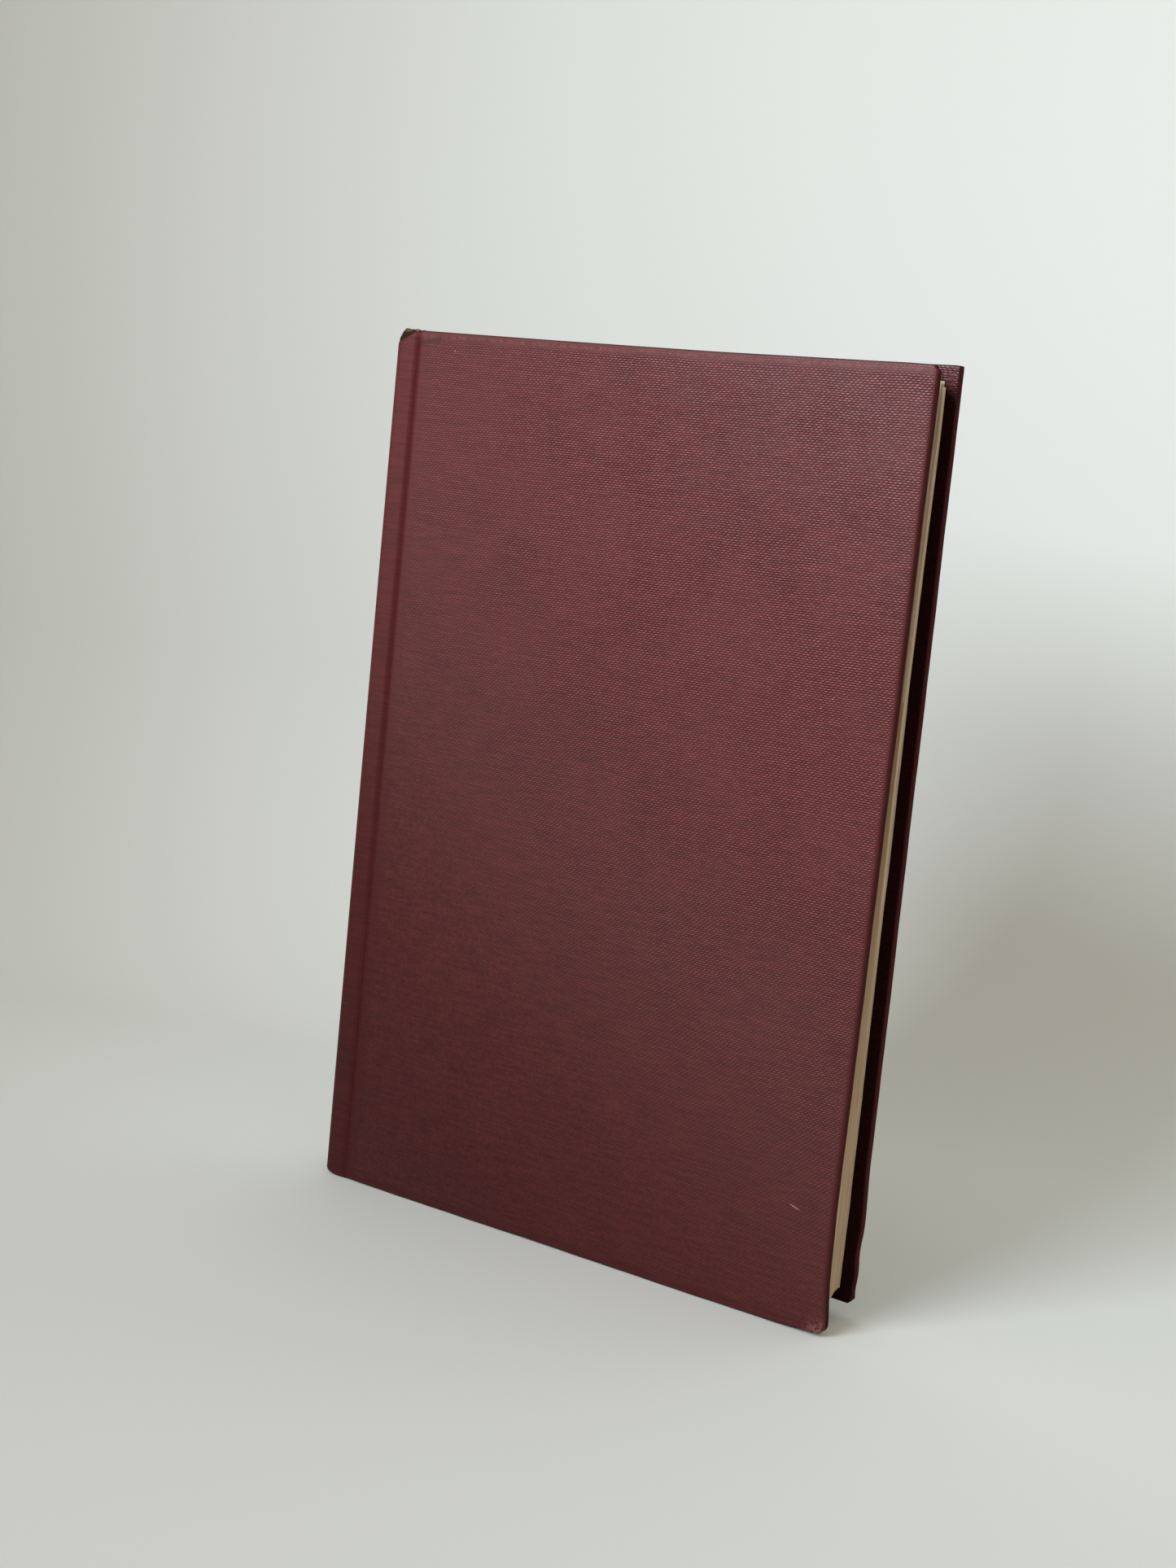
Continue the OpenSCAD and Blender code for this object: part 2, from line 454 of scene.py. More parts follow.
def cover_grids():
    """The cloth of the front cover as a face grid and a rim grid. The rim grid carries a profile along
    three edges: out to the rounded edge, round it, and over the inside by the width of the turn-in.
    Round a corner the profile fans out, and on the inside its loops shrink to a mitre."""
    middle_z = BOOK_H / 2
    corner_x = FORE_X - CORNER_R
    half_z = BOOK_H / 2 - CORNER_R
    x_line = graded(
        (HINGE_X, 0.14), (HINGE_X + 2.2, 0.8), (HINGE_X + 5, 2.0), (FORE_X - 8, 1.0), (corner_x, 1))
    z_line = graded((CORNER_R, 0.8), (10, 2.0), (BOOK_H - 10, 0.8), (BOOK_H - CORNER_R, 1))

    face_x, face_z = np.meshgrid(x_line, z_line)
    face = stack(face_x, -HALF_T + crease(face_x) + cloth_swell(face_x, face_z), face_z)

    turns = np.radians(np.linspace(0, 90, 9))
    tail_fan = stack(np.sin(turns), -np.cos(turns))
    head_fan = stack(np.cos(turns), np.sin(turns))
    corner_line = corner_x + 0 * turns
    base = joined(
        stack(x_line, CORNER_R), stack(corner_line, CORNER_R), stack(corner_x, z_line),
        stack(corner_line, BOOK_H - CORNER_R), stack(x_line[::-1], BOOK_H - CORNER_R),
    )
    outward = joined(stack(0 * x_line, -1), tail_fan, stack(1, 0 * z_line), head_fan, stack(0 * x_line, 1))

    fold = np.radians(np.linspace(0, 90, 7))
    flat = CORNER_R - EDGE_R
    out = joined(
        [0, flat / 2], flat + EDGE_R * np.sin(fold), (flat + EDGE_R * np.sin(fold))[::-1],
        -graded((0, 0.9), (5, 2.4), (TURN_IN - CORNER_R, 1)),
    )
    depth = joined(
        [0, 0], EDGE_R * (1 - np.cos(fold)), (COVER_T - EDGE_R * (1 - np.cos(fold)))[::-1],
        np.full(len(out) - 2 - 2 * len(fold), COVER_T),
    )
    length = run_length(out, depth)

    rows = slice(None, None, -1)
    out, depth, length = out[rows, None], depth[rows, None], length[rows, None]
    shrink = np.minimum(out, 0)
    x = HINGE_X + (base[:, 0] - HINGE_X) * (corner_x + shrink - HINGE_X) / (corner_x - HINGE_X)
    z = middle_z + (base[:, 1] - middle_z) * (half_z + shrink) / half_z
    x = x + outward[:, 0] * np.maximum(out, 0)
    z = z + outward[:, 1] * np.maximum(out, 0)
    groove = crease(x)
    inside = cover_inside(x)
    y = -HALF_T + groove + (depth / COVER_T) * (inside - groove)
    y = y + cloth_swell(x, z) * (1 - ease(depth, 0, EDGE_R))
    marks = base + outward * length[..., None]
    return [(face, stack(face_x, face_z)), (stack(x, y, z), marks)]


def cloth_swell(x, z):
    """Slight unevenness of a cover's face, with a low ridge where the cloth turned in ends underneath."""
    slow = 0.05 * np.sin(x / 23.0 + 1.1) * np.sin(z / 31.0 + 0.4)
    inset = np.minimum(np.minimum(z, BOOK_H - z), FORE_X - x)
    ridge = 0.05 * ease(inset, TURN_IN - 2, TURN_IN + 2) * ease(x, HINGE_X, HINGE_X + 8)
    return ridge - slow * ease(inset, 1, 12)


def make_cover_cloth(side, name, node, body, material):
    """The cloth of one cover, from the joint line round its three edges to the end of the turn-in."""
    patches = [(dress_cover(place, side), mark) for place, mark in cover_grids()]
    piece = make_piece(name, patches, turn_over=side == BACK)
    finish_piece(piece, material, "cloth", [node], sharp=80)
    thicken(piece, SHEET_T)
    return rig.ride(piece, body)


def make_cover_board(side, name, node, body, material):
    """A cover board inside its cloth: a slab that keeps a clearance to the cloth and follows the lean."""
    gap = 0.03
    low_y = -HALF_T + SHEET_T + gap
    high_y = -HALF_T + COVER_T - SHEET_T - gap
    margin = SHEET_T + gap

    def point(s, w, z):
        return dress_cover(stack(s, w + crease(s), z), side), stack(s, z)

    patches = box_patches(
        point,
        spaced(BOARD_X, FORE_X - margin, 3.0),
        np.linspace(low_y + 0.12, high_y, 3),
        graded((margin, 0.8), (10, 4.0), (BOOK_H - 10, 0.8), (BOOK_H - margin, 1)),
    )
    return make_solid(name, patches, material, "board", [node], body, side == BACK)


def make_pastedown(side, name, node, body, material):
    """The glued half of an endpaper. Its middle sinks a little, inside the edge of the turned-in cloth."""
    inner_y = -HALF_T + COVER_T
    paper_t = LEAF_Y - BLOCK_Y

    def point(s, w, z):
        inset = np.minimum(np.minimum(z, BOOK_H - z), FORE_X - s)
        sunk = 0.1 * ease(inset, TURN_IN - 0.6, TURN_IN + 0.9)
        edge = LEAF_X + wander(z, 51 + side, 0.12)
        x = BOARD_X + (s - BOARD_X) * (edge - BOARD_X) / (LEAF_X - BOARD_X)
        high = z + KNOCK_PASTEDOWN * knocked_up(x, z) * (side == BACK)
        return lean(stack(x, (inner_y + w * paper_t - sunk) * -side, high)), stack(s, z)

    patches = box_patches(
        point,
        graded((BOARD_X, 2.5), (FORE_X - TURN_IN - 3, 0.5), (FORE_X - TURN_IN + 3, 2.5), (LEAF_X, 1)),
        np.array([0.0, 1.0]),
        graded((TAIL_Z, 2.5), (TURN_IN - 3, 0.5), (TURN_IN + 3, 3.0),
               (BOOK_H - TURN_IN - 3, 0.5), (BOOK_H - TURN_IN + 3, 2.5), (HEAD_Z, 1)),
    )
    return make_solid(name, patches, material, "endpaper", [node], body, side == BACK)


# Spine


def spine_path():
    """Outside of the spine from the front joint line to the back one, seen from the head: a straight
    side, the shoulder's arc, the spine's arc, and their mirror image. Gives the places, the outward
    directions, the length from the front joint line and the turn about the arc's middle in degrees."""
    side_y = HALF_T - SHOULDER_R
    turn = math.asin(side_y / (SPINE_R - SHOULDER_R))
    band = graded((HINGE_X, 0.14), (HINGE_X - 1.6, 0.5), (ROUND_X, 1))[:-1]
    shoulder = np.linspace(-math.pi / 2, -math.pi + turn, 14)
    arc = np.linspace(turn, 0, 22)[1:]
    half = joined(
        stack(band, -HALF_T, 0, -1, turn),
        stack(ROUND_X + SHOULDER_R * np.cos(shoulder), -side_y + SHOULDER_R * np.sin(shoulder),
              np.cos(shoulder), np.sin(shoulder), turn),
        stack(SPINE_CX - SPINE_R * np.cos(arc), -SPINE_R * np.sin(arc), -np.cos(arc), -np.sin(arc), arc),
    )
    x, y, out_x, out_y, angle = joined(half, half[-2::-1] * (1, -1, 1, -1, 1)).T
    return x, y, out_x, out_y, run_length(x, y), np.degrees(angle)


# How far the ends of the spine are worn down, by length along the path from the front joint line.
# The head is crushed at the front shoulder, and the tail is rounded there.
HEAD_WEAR = ((0, 0.0), (2.6, 0.0), (3.4, -0.25), (4.2, -0.15), (5.2, 1.2), (6.2, 2.4), (7.6, 2.6),
             (10, 1.5), (14, 0.5), (20, 0.6), (23, 1.3), (26, 0.0))
TAIL_WEAR = ((0, 0.1), (3.0, 0.1), (4.4, 0.3), (6.0, 0.9), (7.6, 1.4),
             (10, 0.8), (14, 0.3), (20, 0.5), (22, 0.9), (26, 0.1))


def end_wear(length, z):
    """Height that wear takes from a place on the spine: it grows from nothing about 9 mm from either
    end, so that the cloth bunches there."""
    head = np.interp(length, *zip(*HEAD_WEAR)) * ease(z, BOOK_H - 9, BOOK_H)
    tail = np.interp(length, *zip(*TAIL_WEAR)) * ease(-z, -9, 0)
    return head - tail


def make_spine_cloth(material):
    """The cloth of the spine. The path round the spine is carried up the book by a profile: up the inside
    of the tail, over a half-round fold, up the outside, over the head and down its inside."""
    x, y, out_x, out_y, length, angle = spine_path()
    on_arc = 1 - ease(angle, 16.0, 18.0)
    at_joint = 1 - ease(np.abs(x - HINGE_X), 0, CREASE_HALF)
    fold_r = SIDE_FOLD_R + (FOLD_R - SIDE_FOLD_R) * on_arc
    inner_in = 2 * fold_r + (JOINT_IN - 2 * SIDE_FOLD_R) * at_joint
    reach = CAP_SIDE_TURN_IN + (CAP_TURN_IN - CAP_SIDE_TURN_IN) * on_arc

    turns = np.radians(np.linspace(0, 180, 11))
    rise = np.linspace(0, 1, 7)
    out_z = graded((FOLD_R, 0.4), (12, 2.0), (BOOK_H - 12, 0.4), (BOOK_H - FOLD_R, 1))
    tail = [(inner_in, reach + (fold_r - reach) * step) for step in rise[:-1]]
    for turn in turns[:0:-1]:
        tail.append((inner_in / 2 * (1 - math.cos(turn)), fold_r * (1 - math.sin(turn))))
    up_side = fold_r + (out_z[:, None] - FOLD_R) / (BOOK_H - 2 * FOLD_R) * (BOOK_H - 2 * fold_r)
    head = [(inner, BOOK_H - low) for inner, low in reversed(tail)]
    inward, z = np.array(tail + [(0 * level, level) for level in up_side] + head).swapaxes(0, 1)

    groove = CREASE_DEPTH * at_joint * (1 - np.clip(inward / inner_in, 0, 1))
    torn = 0.2 * torn_share(x[None, :], y[None, :], z) * (inward < 0.1)
    depth = inward + groove + torn
    place = stack(x - out_x * depth, y - out_y * depth, z - end_wear(length[None, :], z))
    piece = make_piece("spine_case_cloth", [(place, stack(HINGE_X - length, z))], turn_over=True)
    finish_piece(piece, material, "cloth", ["spine_cloth"], sharp=80)
    thicken(piece, SHEET_T)
    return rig.ride(piece, "book_block")


# The cloth is worn through above this line at the head of the spine's front shoulder
TEAR_LOW = (-71.4, 215.1)
TEAR_HIGH = (-66.4, 216.0)


def torn_share(x, y, z):
    """1 above the line of the tear at the head of the front shoulder, as cut, and 0 below it."""
    slope = (TEAR_HIGH[1] - TEAR_LOW[1]) / (TEAR_HIGH[0] - TEAR_LOW[0])
    above = z - (TEAR_LOW[1] + slope * (x - TEAR_LOW[0]))
    return ease(above, -0.2, 0.3) * ease(-y, 3.0, 5.0)


def make_spine_stiffener(material):
    """The card inside the cloth of the spine: a slab bent to the spine's arc, worn down with the cloth."""
    half_turn = math.asin(inlay_high[1] / (SPINE_R - CLOTH_T))
    middle = spine_path()[4][-1] / 2

    def point(s, w, z):
        radius = SPINE_R - INLAY_IN + 0.06 + s * (INLAY_IN - CLOTH_T - 0.12)
        place_z = z - end_wear(middle + SPINE_R * w, z)
        place = stack(SPINE_CX - radius * np.cos(w), radius * np.sin(w), place_z)
        return place, stack(w * SPINE_R, z)

    patches = box_patches(
        point,
        np.array([1.0, 0.0]),
        np.linspace(-half_turn, half_turn, 40),
        graded((CLOTH_T, 0.8), (12, 6.0), (BOOK_H - 12, 0.8), (BOOK_H - CLOTH_T, 1)),
    )
    return make_solid("spine_stiffener", patches, material, "card", ["spine_inlay"], "book_block")


def make_band(name, node, low_z, up, material):
    """A woven bead over the backs of the leaves. A half-round section follows the spine's arc, and slanting
    thread turns ripple its surface."""
    radius = 0.7
    middle_r = SPINE_R - LEAVES_IN - radius
    half_turn = math.asin(band_high[1] / middle_r) * 0.98
    rise = band_high[2] - band_low[2]
    turns = np.linspace(-half_turn, half_turn, 260)
    around = np.radians(np.linspace(0, 360, 25))
    turn, section = np.meshgrid(turns, around)
    thread = 1 + 0.07 * np.cos(2 * math.pi * turn * middle_r / BAND_TURN + BAND_SLANT * section)
    closing = np.sqrt(np.clip((half_turn - np.abs(turn)) / 0.02, 0, 1))
    across = radius * 0.93 * np.cos(section) * thread * closing
    up_z = np.maximum(np.sin(section), 0) * (rise - 0.1) * thread * closing
    place = stack(
        SPINE_CX - (middle_r + across) * np.cos(turn),
        (middle_r + across) * np.sin(turn),
        low_z + up * (up_z + 0.02),
    )
    patches = [(place, stack(turn * middle_r, section))]
    return make_solid(name, patches, material, "band", [node], "book_block", up > 0, 60)


def make_frayed_threads(material):
    """Loose cloth threads over the worn head of the spine's front shoulder. Each is a thin tube along an
    arc that leaves the torn edge and lies back over the head."""
    patches = []
    sections = np.radians(np.linspace(0, 360, 7))
    steps = np.linspace(0, 1, 12)
    for _ in range(26):
        start = np.array([random.uniform(-71.0, -66.5), random.uniform(-7.6, -5.2), 0.0])
        start[2] = np.interp(start[0], (-71.2, -69.3), (213.5, 215.75)) + random.uniform(-0.25, 0.1)
        reach = random.uniform(0.8, 2.8)
        heading = random.uniform(-0.7, 0.9)
        lift = random.uniform(0.0, 0.35)
        middle = stack(
            start[0] + reach * steps * math.cos(heading),
            start[1] + reach * steps * math.sin(heading) * 0.5,
            start[2] + lift * np.sin(math.pi * steps) + reach * steps * 0.25 * random.uniform(0.0, 0.6),
        )
        along = np.gradient(middle, axis=0)
        along /= np.linalg.norm(along, axis=1, keepdims=True)
        side = np.cross(along, [0.0, 0.3, 1.0])
        side /= np.linalg.norm(side, axis=1, keepdims=True)
        over = np.cross(side, along)
        radius = random.uniform(0.05, 0.09) * np.sqrt(np.clip(1 - (2 * steps - 1) ** 8, 0, 1))
        ring = np.cos(sections)[:, None, None] * side + np.sin(sections)[:, None, None] * over
        place = middle + ring * radius[:, None]
        patches.append((place, stack(steps[None, :] * reach, sections[:, None])))
    return make_solid("frayed_threads", patches, material, "cloth", (), "book_block")


# Leaves


LEAF_PITCH = 0.1
leaf_count = int(round(2 * BLOCK_Y / LEAF_PITCH))
leaf_edges = np.linspace(-1, 1, leaf_count + 1)
leaf_w = (stack(leaf_edges[:-1], leaf_edges[1:]) + np.array([0.14, -0.14]) * (2 / leaf_count)).ravel()
leaf_w[0], leaf_w[-1] = -1, 1
fore_trim = np.repeat(random.normal(0, 0.028, leaf_count) + 0.03 * np.sin(np.arange(leaf_count) / 2.6), 2)
head_trim = np.repeat(random.normal(0, 0.022, leaf_count), 2)


def half_thickness(x):
    """Half the thickness of the leaves at x: that of the backed shoulder, a hollow quarter-round down to
    the sides, and that of the sides."""
    start = GUTTER_X - COVE_R
    run = np.clip(x - start - COVE_R, -COVE_R, 0)
    cove = SHOULDER_Y - np.sqrt(np.clip(COVE_R ** 2 - run ** 2, 0, None))
    return np.where(x < start, SHOULDER_Y, np.where(x < GUTTER_X, cove, BLOCK_Y))


def back_of_leaves(y):
    """X of the backs of the leaves: the spine's arc, then a small arc round each shoulder."""
    inner_r = SPINE_R - LEAVES_IN
    side_r = SHOULDER_R - (HALF_T - SHOULDER_Y)
    side_y = SHOULDER_Y - side_r
    centre_x = SPINE_CX - math.sqrt((inner_r - side_r) ** 2 - side_y ** 2)
    arc = SPINE_CX - np.sqrt(inner_r ** 2 - y ** 2)
    shoulder = centre_x - np.sqrt(np.clip(side_r ** 2 - (np.abs(y) - side_y) ** 2, 0, None))
    meet = inner_r * side_y / (inner_r - side_r)
    return np.where(np.abs(y) < meet, arc, shoulder)


def fore_edge(w, z):
    """X of the fore edge: a shallow hollow, low ridges where groups of leaves slid, and each leaf's own
    trim."""
    hollow = FORE_HOLLOW * (1 - w ** 2)
    up = z / BOOK_H
    ridges = 0.20 * bump(w, -0.35 + 0.75 * up, 0.22) - 0.16 * bump(w, 0.28 + 0.25 * up, 0.2)
    uneven = 1 + 1.1 * bump(z, 203, 22) - 1.0 * bump(z, 123, 26) - 0.5 * bump(z, 8, 9)
    proud = 0.30 * ease(w, 0.80, 0.83) * uneven
    return LEAF_X - hollow + ridges + proud - 0.12 + np.interp(w, leaf_w, fore_trim)


def leaf_knock(x, z):
    """Share of the same blow on the last leaves, whose corners are pushed up."""
    return ease(x, LEAF_X - 9, LEAF_X - 0.5) * ease(-z, -14, -2)


def make_leaf_stack(material):
    """The leaves as one stack. A leaf is a sheet from the backs of the leaves to the fore edge, its Y is
    its share w times half the thickness at x, and every leaf has its own trim at head and fore edge."""

    def point(s, w, z):
        back_x = back_of_leaves(w * SHOULDER_Y)
        x = back_x + s * (fore_edge(w, z) - back_x)
        y = w * half_thickness(x)
        trim = np.interp(w, leaf_w, head_trim)
        slack = 1.45 * ease(x, LEAF_X - 75, LEAF_X) + 0.1 * w
        top = np.where(z > BOOK_H / 2, trim - slack - 0.1, trim * 0.5 + 0.1)
        share = np.abs(2 * z / BOOK_H - 1) ** 8
        high = z + top * share + KNOCK_LEAVES * ease(w, 0.3, 1.0) * leaf_knock(x, z)
        return lean(stack(x, y, high)), stack(w * BLOCK_Y, x + z)

    back_end = (GUTTER_X - leaves_low[0]) / (LEAF_X - leaves_low[0])
    patches = box_patches(
        point,
        joined(np.linspace(0, back_end, 22)[:-1], np.linspace(back_end, 1, 46)),
        leaf_w,
        graded((TAIL_Z, 1.2), (TAIL_Z + 12, 4.0), (HEAD_Z - 12, 1.2), (HEAD_Z, 1)),
    )
    return make_solid("leaf_stack", patches, material, "leaves", ["text_block"], "book_block", sharp=50)


def make_raised_leaf(material):
    """One leaf that has slipped up: its head fore corner stands clear of the others. Its head edge rises
    towards the corner, and the corner is rounded and bent a little towards the front."""
    thickness = 0.13
    middle_y = 3.6
    reach, fall = 60.0, 70.0

    def point(s, w, z):
        x = LEAF_X - 0.25 - reach * (1 - s)
        low, high = HEAD_Z - fall, HEAD_Z - 1.5 + 1.9 * s ** 6
        up = low + z * (high - low) - 0.5 * ease(s, 0.988, 1.0) * ease(z, 0.985, 1.0)
        y = middle_y + w * thickness - 0.25 * ease(z, 0.975, 1.0) * s ** 4
        return lean(stack(x, y, up)), stack(x, up)

    across = joined(np.linspace(0, 0.9, 16), np.linspace(0.91, 1, 20))
    up = joined(np.linspace(0, 0.93, 12), np.linspace(0.935, 1, 20))
    patches = box_patches(point, across, np.array([-0.5, 0.5]), up)
    return make_solid("raised_leaf", patches, material, "leaves", (), "book_block")


def make_flyleaf(side, name, node, material):
    """The loose half of an endpaper, flat on the outside leaf, with edges that wander a little."""

    def point(s, w, z):
        edge = LEAF_X + 0.05 + wander(z, 41 + side, 0.16)
        x = GUTTER_X + s * (edge - GUTTER_X)
        top = ease(z, HEAD_Z - 20, HEAD_Z) * (wander(x, 43 + side, 0.14) - 0.1)
        high = z + top + KNOCK_LEAVES * leaf_knock(x, z) * (side == BACK)
        return lean(stack(x, (BLOCK_Y + w * (LEAF_Y - BLOCK_Y)) * side, high)), stack(x, z)

    patches = box_patches(
        point,
        np.linspace(0, 1, 60),
        np.array([0.0, 1.0]),
        graded((TAIL_Z, 1.5), (TAIL_Z + 12, 4.0), (HEAD_Z - 12, 1.5), (HEAD_Z, 1)),
    )
    return make_solid(name, patches, material, "endpaper", [node], "book_block", side == FRONT)


# What bends at the joints


def make_bridge(name, body, material, slot, x_line, z_line, level, turn_over, thickness, bend):
    """A strip from the block to a cover, which bends where the cover turns. level(x) gives its Y, and bend
    gives X where the bend starts and ends, and Y there."""
    x, z = np.meshgrid(x_line, z_line)
    piece = make_piece(name, [(stack(x, level(x), z), stack(x, z))], turn_over)
    finish_piece(piece, material, slot)
    thicken(piece, thickness)
    start, end = ((place * MM, bend[2] * MM, BOOK_H / 2 * MM) for place in bend[:2])
    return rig.blend(piece, "book_block", body, start, end)


def make_joint_cloth(side, name, body, material):
    """Cloth behind the groove, which bends as the cover opens and closes the joint from outside."""

    def level(x):
        return (-HALF_T + crease(x) + SHEET_T + 0.03) * -side

    x_line = np.linspace(HINGE_X - 1.3, HINGE_X + 1.3, 27)
    bend = (HINGE_X - 0.35, HINGE_X + 0.35, HALF_T * side)
    z_line = spaced(0.9, BOOK_H - 1.4, 4.0)
    return make_bridge(name, body, material, "cloth", x_line, z_line, level, side == BACK, 0.1, bend)


def make_gutter_paper(side, name, body, material):
    """The strip of endpaper that bridges from the flyleaf to the pastedown, and bends in the gutter."""

    def level(x):
        return (LEAF_Y - 0.03 + 0.1 * ease(x, GUTTER_X, BOARD_X)) * side

    x_line = np.linspace(GUTTER_X - 0.3, BOARD_X + 0.5, 25)
    bend = (GUTTER_X + 0.05, BOARD_X + 0.05, LEAF_Y * side)
    z_line = spaced(TAIL_Z + 0.05, HEAD_Z - 0.25, 4.0)
    return make_bridge(name, body, material, "endpaper", x_line, z_line, level, side == FRONT, 0.06, bend)


# Node trees


def sign(operation, turned=False):
    """A sign of a sum, as a call that adds its math node."""
    if turned:
        return lambda a, b: a.tree.math(operation, b, a)
    return lambda a, b: a.tree.math(operation, a, b)


class Value:
    """A node's output that takes part in sums. Each sign in a sum adds a math node."""

    __array_ufunc__ = None
    __add__ = __radd__ = sign("ADD")
    __sub__ = sign("SUBTRACT")
    __rsub__ = sign("SUBTRACT", turned=True)
    __mul__ = __rmul__ = sign("MULTIPLY")
    __truediv__ = sign("DIVIDE")
    __mod__ = sign("MODULO")
    __pow__ = sign("POWER")

    def __init__(self, tree, socket):
        self.tree = tree
        self.socket = socket

    def __abs__(self):
        return self.tree.math("ABSOLUTE", self)

    def clamped(self):
        """The value held between 0 and 1."""
        self.socket.node.use_clamp = True
        return self


class Tree:
    """A node tree with short calls that add a node and link what goes into it."""

    def __init__(self, tree):
        self.tree = tree
        self.place = 0

    def put(self, socket, value):
        if isinstance(value, Value):
            self.tree.links.new(value.socket, socket)
        else:
            socket.default_value = value

    def node(self, kind, given=(), **settings):
        """A node with its settings, and what its inputs are given, in order or by name."""
        made = self.tree.nodes.new(kind)
        self.place += 1
        made.location = (180 * (self.place % 12), -220 * (self.place // 12))
        for name, value in settings.items():
            setattr(made, name, value)
        for name, value in (given if isinstance(given, dict) else dict(enumerate(given))).items():
            self.put(made.inputs[name], value)
        return made

    def value(self, kind, given=(), out=0, **settings):
        return Value(self, self.node(kind, given, **settings).outputs[out])

    def values(self, made):
        return {socket.name: Value(self, socket) for socket in made.outputs}

    def math(self, operation, *given):
        return self.value("ShaderNodeMath", given, operation=operation)

    def larger(self, a, b):
        return self.math("MAXIMUM", a, b)

    def smaller(self, a, b):
        return self.math("MINIMUM", a, b)

    def root(self, value):
        return self.math("SQRT", value)

    def floor(self, value):
        return self.math("FLOOR", value)

    def peak(self, value):
        """0 at whole numbers, and up to 0.5 midway between them."""
        return self.math("PINGPONG", self.math("FRACT", value), 0.5)

    def step(self, *given):
        """Smooth step of a value between a start and an end, put out from a low to a high value."""
        return self.value("ShaderNodeMapRange", given, interpolation_type="SMOOTHSTEP")

    def mix(self, share, a, b, blend="MIX"):
        """Colour a towards colour b by share."""
        given = {"Factor": share, "A": a, "B": b}
        return self.value("ShaderNodeMix", given, "Result", data_type="RGBA", blend_type=blend)

    def shaded(self, colour, shade):
        """A colour times a plain factor."""
        return self.mix(1.0, colour, self.join(shade, shade, shade), "MULTIPLY")

    def split(self, vector):
        return [Value(self, socket) for socket in self.node("ShaderNodeSeparateXYZ", [vector]).outputs]

    def join(self, *given):
        return self.value("ShaderNodeCombineXYZ", given)

    def noise(self, vector, scale, detail=2.0, roughness=0.5):
        given = {"Vector": vector, "Scale": scale, "Detail": detail, "Roughness": roughness}
        return self.value("ShaderNodeTexNoise", given)

    def chance(self, *place):
        """A random value for each place."""
        given = {"Vector": self.join(*place)}
        return self.value("ShaderNodeTexWhiteNoise", given, "Value", noise_dimensions="3D")

    def scaled(self, vector, *factors):
        return self.value("ShaderNodeVectorMath", [vector, factors], operation="MULTIPLY")

    def group(self, shared, vector, **given):
        """The outputs of a node group, by name."""
        named = {name.replace("_", " "): value for name, value in given.items()}
        return self.values(self.node("ShaderNodeGroup", {"Vector": vector, **named}, node_tree=shared))

    def object_place(self):
        return self.value("ShaderNodeTexCoord", out="Object")

    def pattern(self):
        """The pattern marks in millimetres."""
        return self.value("ShaderNodeUVMap", uv_map="pattern")

    def bumped(self, height, relief, **below):
        """A normal bent by height, with the relief in millimetres."""
        given = {"Strength": 1.0, "Distance": relief * MM, "Height": height, **below}
        return self.value("ShaderNodeBump", given)


def new_group(name, outputs, **floats):
    """An empty node group with a Vector and named numbers as inputs, and numbers as outputs."""
    shared = bpy.data.node_groups.new(name, "ShaderNodeTree")
    shared.interface.new_socket(name="Vector", in_out="INPUT", socket_type="NodeSocketVector")
    for label, value in floats.items():
        made = shared.interface.new_socket(
            name=label.replace("_", " "), in_out="INPUT", socket_type="NodeSocketFloat")
        made.default_value = value
    for label in outputs:
        shared.interface.new_socket(name=label, in_out="OUTPUT", socket_type="NodeSocketFloat")
    tree = Tree(shared)
    return shared, tree, tree.values(tree.node("NodeGroupInput")), tree.node("NodeGroupOutput").inputs


def weave_group():
    """Weave of the cloth in brick-like rows of short raised threads. A row's number is the height over the
    row pitch, every other row is moved by half a thread, and a thread is a bell along and across its row.
    Slow noise moves the rows and blurs the weave in places, and long noise along a row makes slubs."""
    shared, tree, given, result = new_group(
        "book_weave", ("Height", "Thread", "Slub"), Row_Pitch=0.52, Thread_Pitch=1.11)
    place = given["Vector"]
    u, v, _ = tree.split(place)
    bend = tree.noise(tree.scaled(place, 0.5, 1.0, 1.0), 0.06)
    quiver = tree.noise(place, 0.35, 1.0)
    rows = (1.2 * bend + (0.22 * quiver + v)) / given["Row Pitch"]
    row = tree.floor(rows)
    across = tree.peak(rows)
    shift = 0.5 * (row % 2.0) + 0.1 * tree.chance(row)
    slant = -0.3 * tree.math("FRACT", rows)
    wave = 0.3 * tree.noise(tree.join(u, row), 0.25, 1.0)
    threads = u / given["Thread Pitch"] + (shift + slant) + wave
    thread = tree.floor(threads)
    tall = tree.step(tree.peak(threads), 0.02, 0.36, 0.14, 1.0) * tree.step(across, 0.08, 0.46)
    strength = 0.55 * tree.chance(row, thread) + 0.6
    blur = tree.step(tree.noise(place, 0.05, 3.0), 0.35, 0.62, 0.75, 1.0)
    raised = (tall * strength - 0.3) * blur + 0.3
    slub = tree.noise(tree.scaled(tree.join(u, row), 0.11, 0.83, 1.0), 1.0, 1.0)
    tree.put(result["Height"], 0.85 * raised + 0.12 * tree.step(across, 0.02, 0.4) + 0.1 * slub)
    tree.put(result["Thread"], raised)
    tree.put(result["Slub"], slub)
    return shared


def mottle_group():
    """Fine fibre and slow mottling for paper, board and worn cloth: two noises of unlike size."""
    shared, tree, given, result = new_group(
        "fibre_mottle", ("Fine", "Slow"), Fine_Scale=900.0, Slow_Scale=30.0)
    tree.put(result["Fine"], tree.noise(given["Vector"], given["Fine Scale"], 4.0, 0.6))
    tree.put(result["Slow"], tree.noise(given["Vector"], given["Slow Scale"], 4.0, 0.55))
    return shared


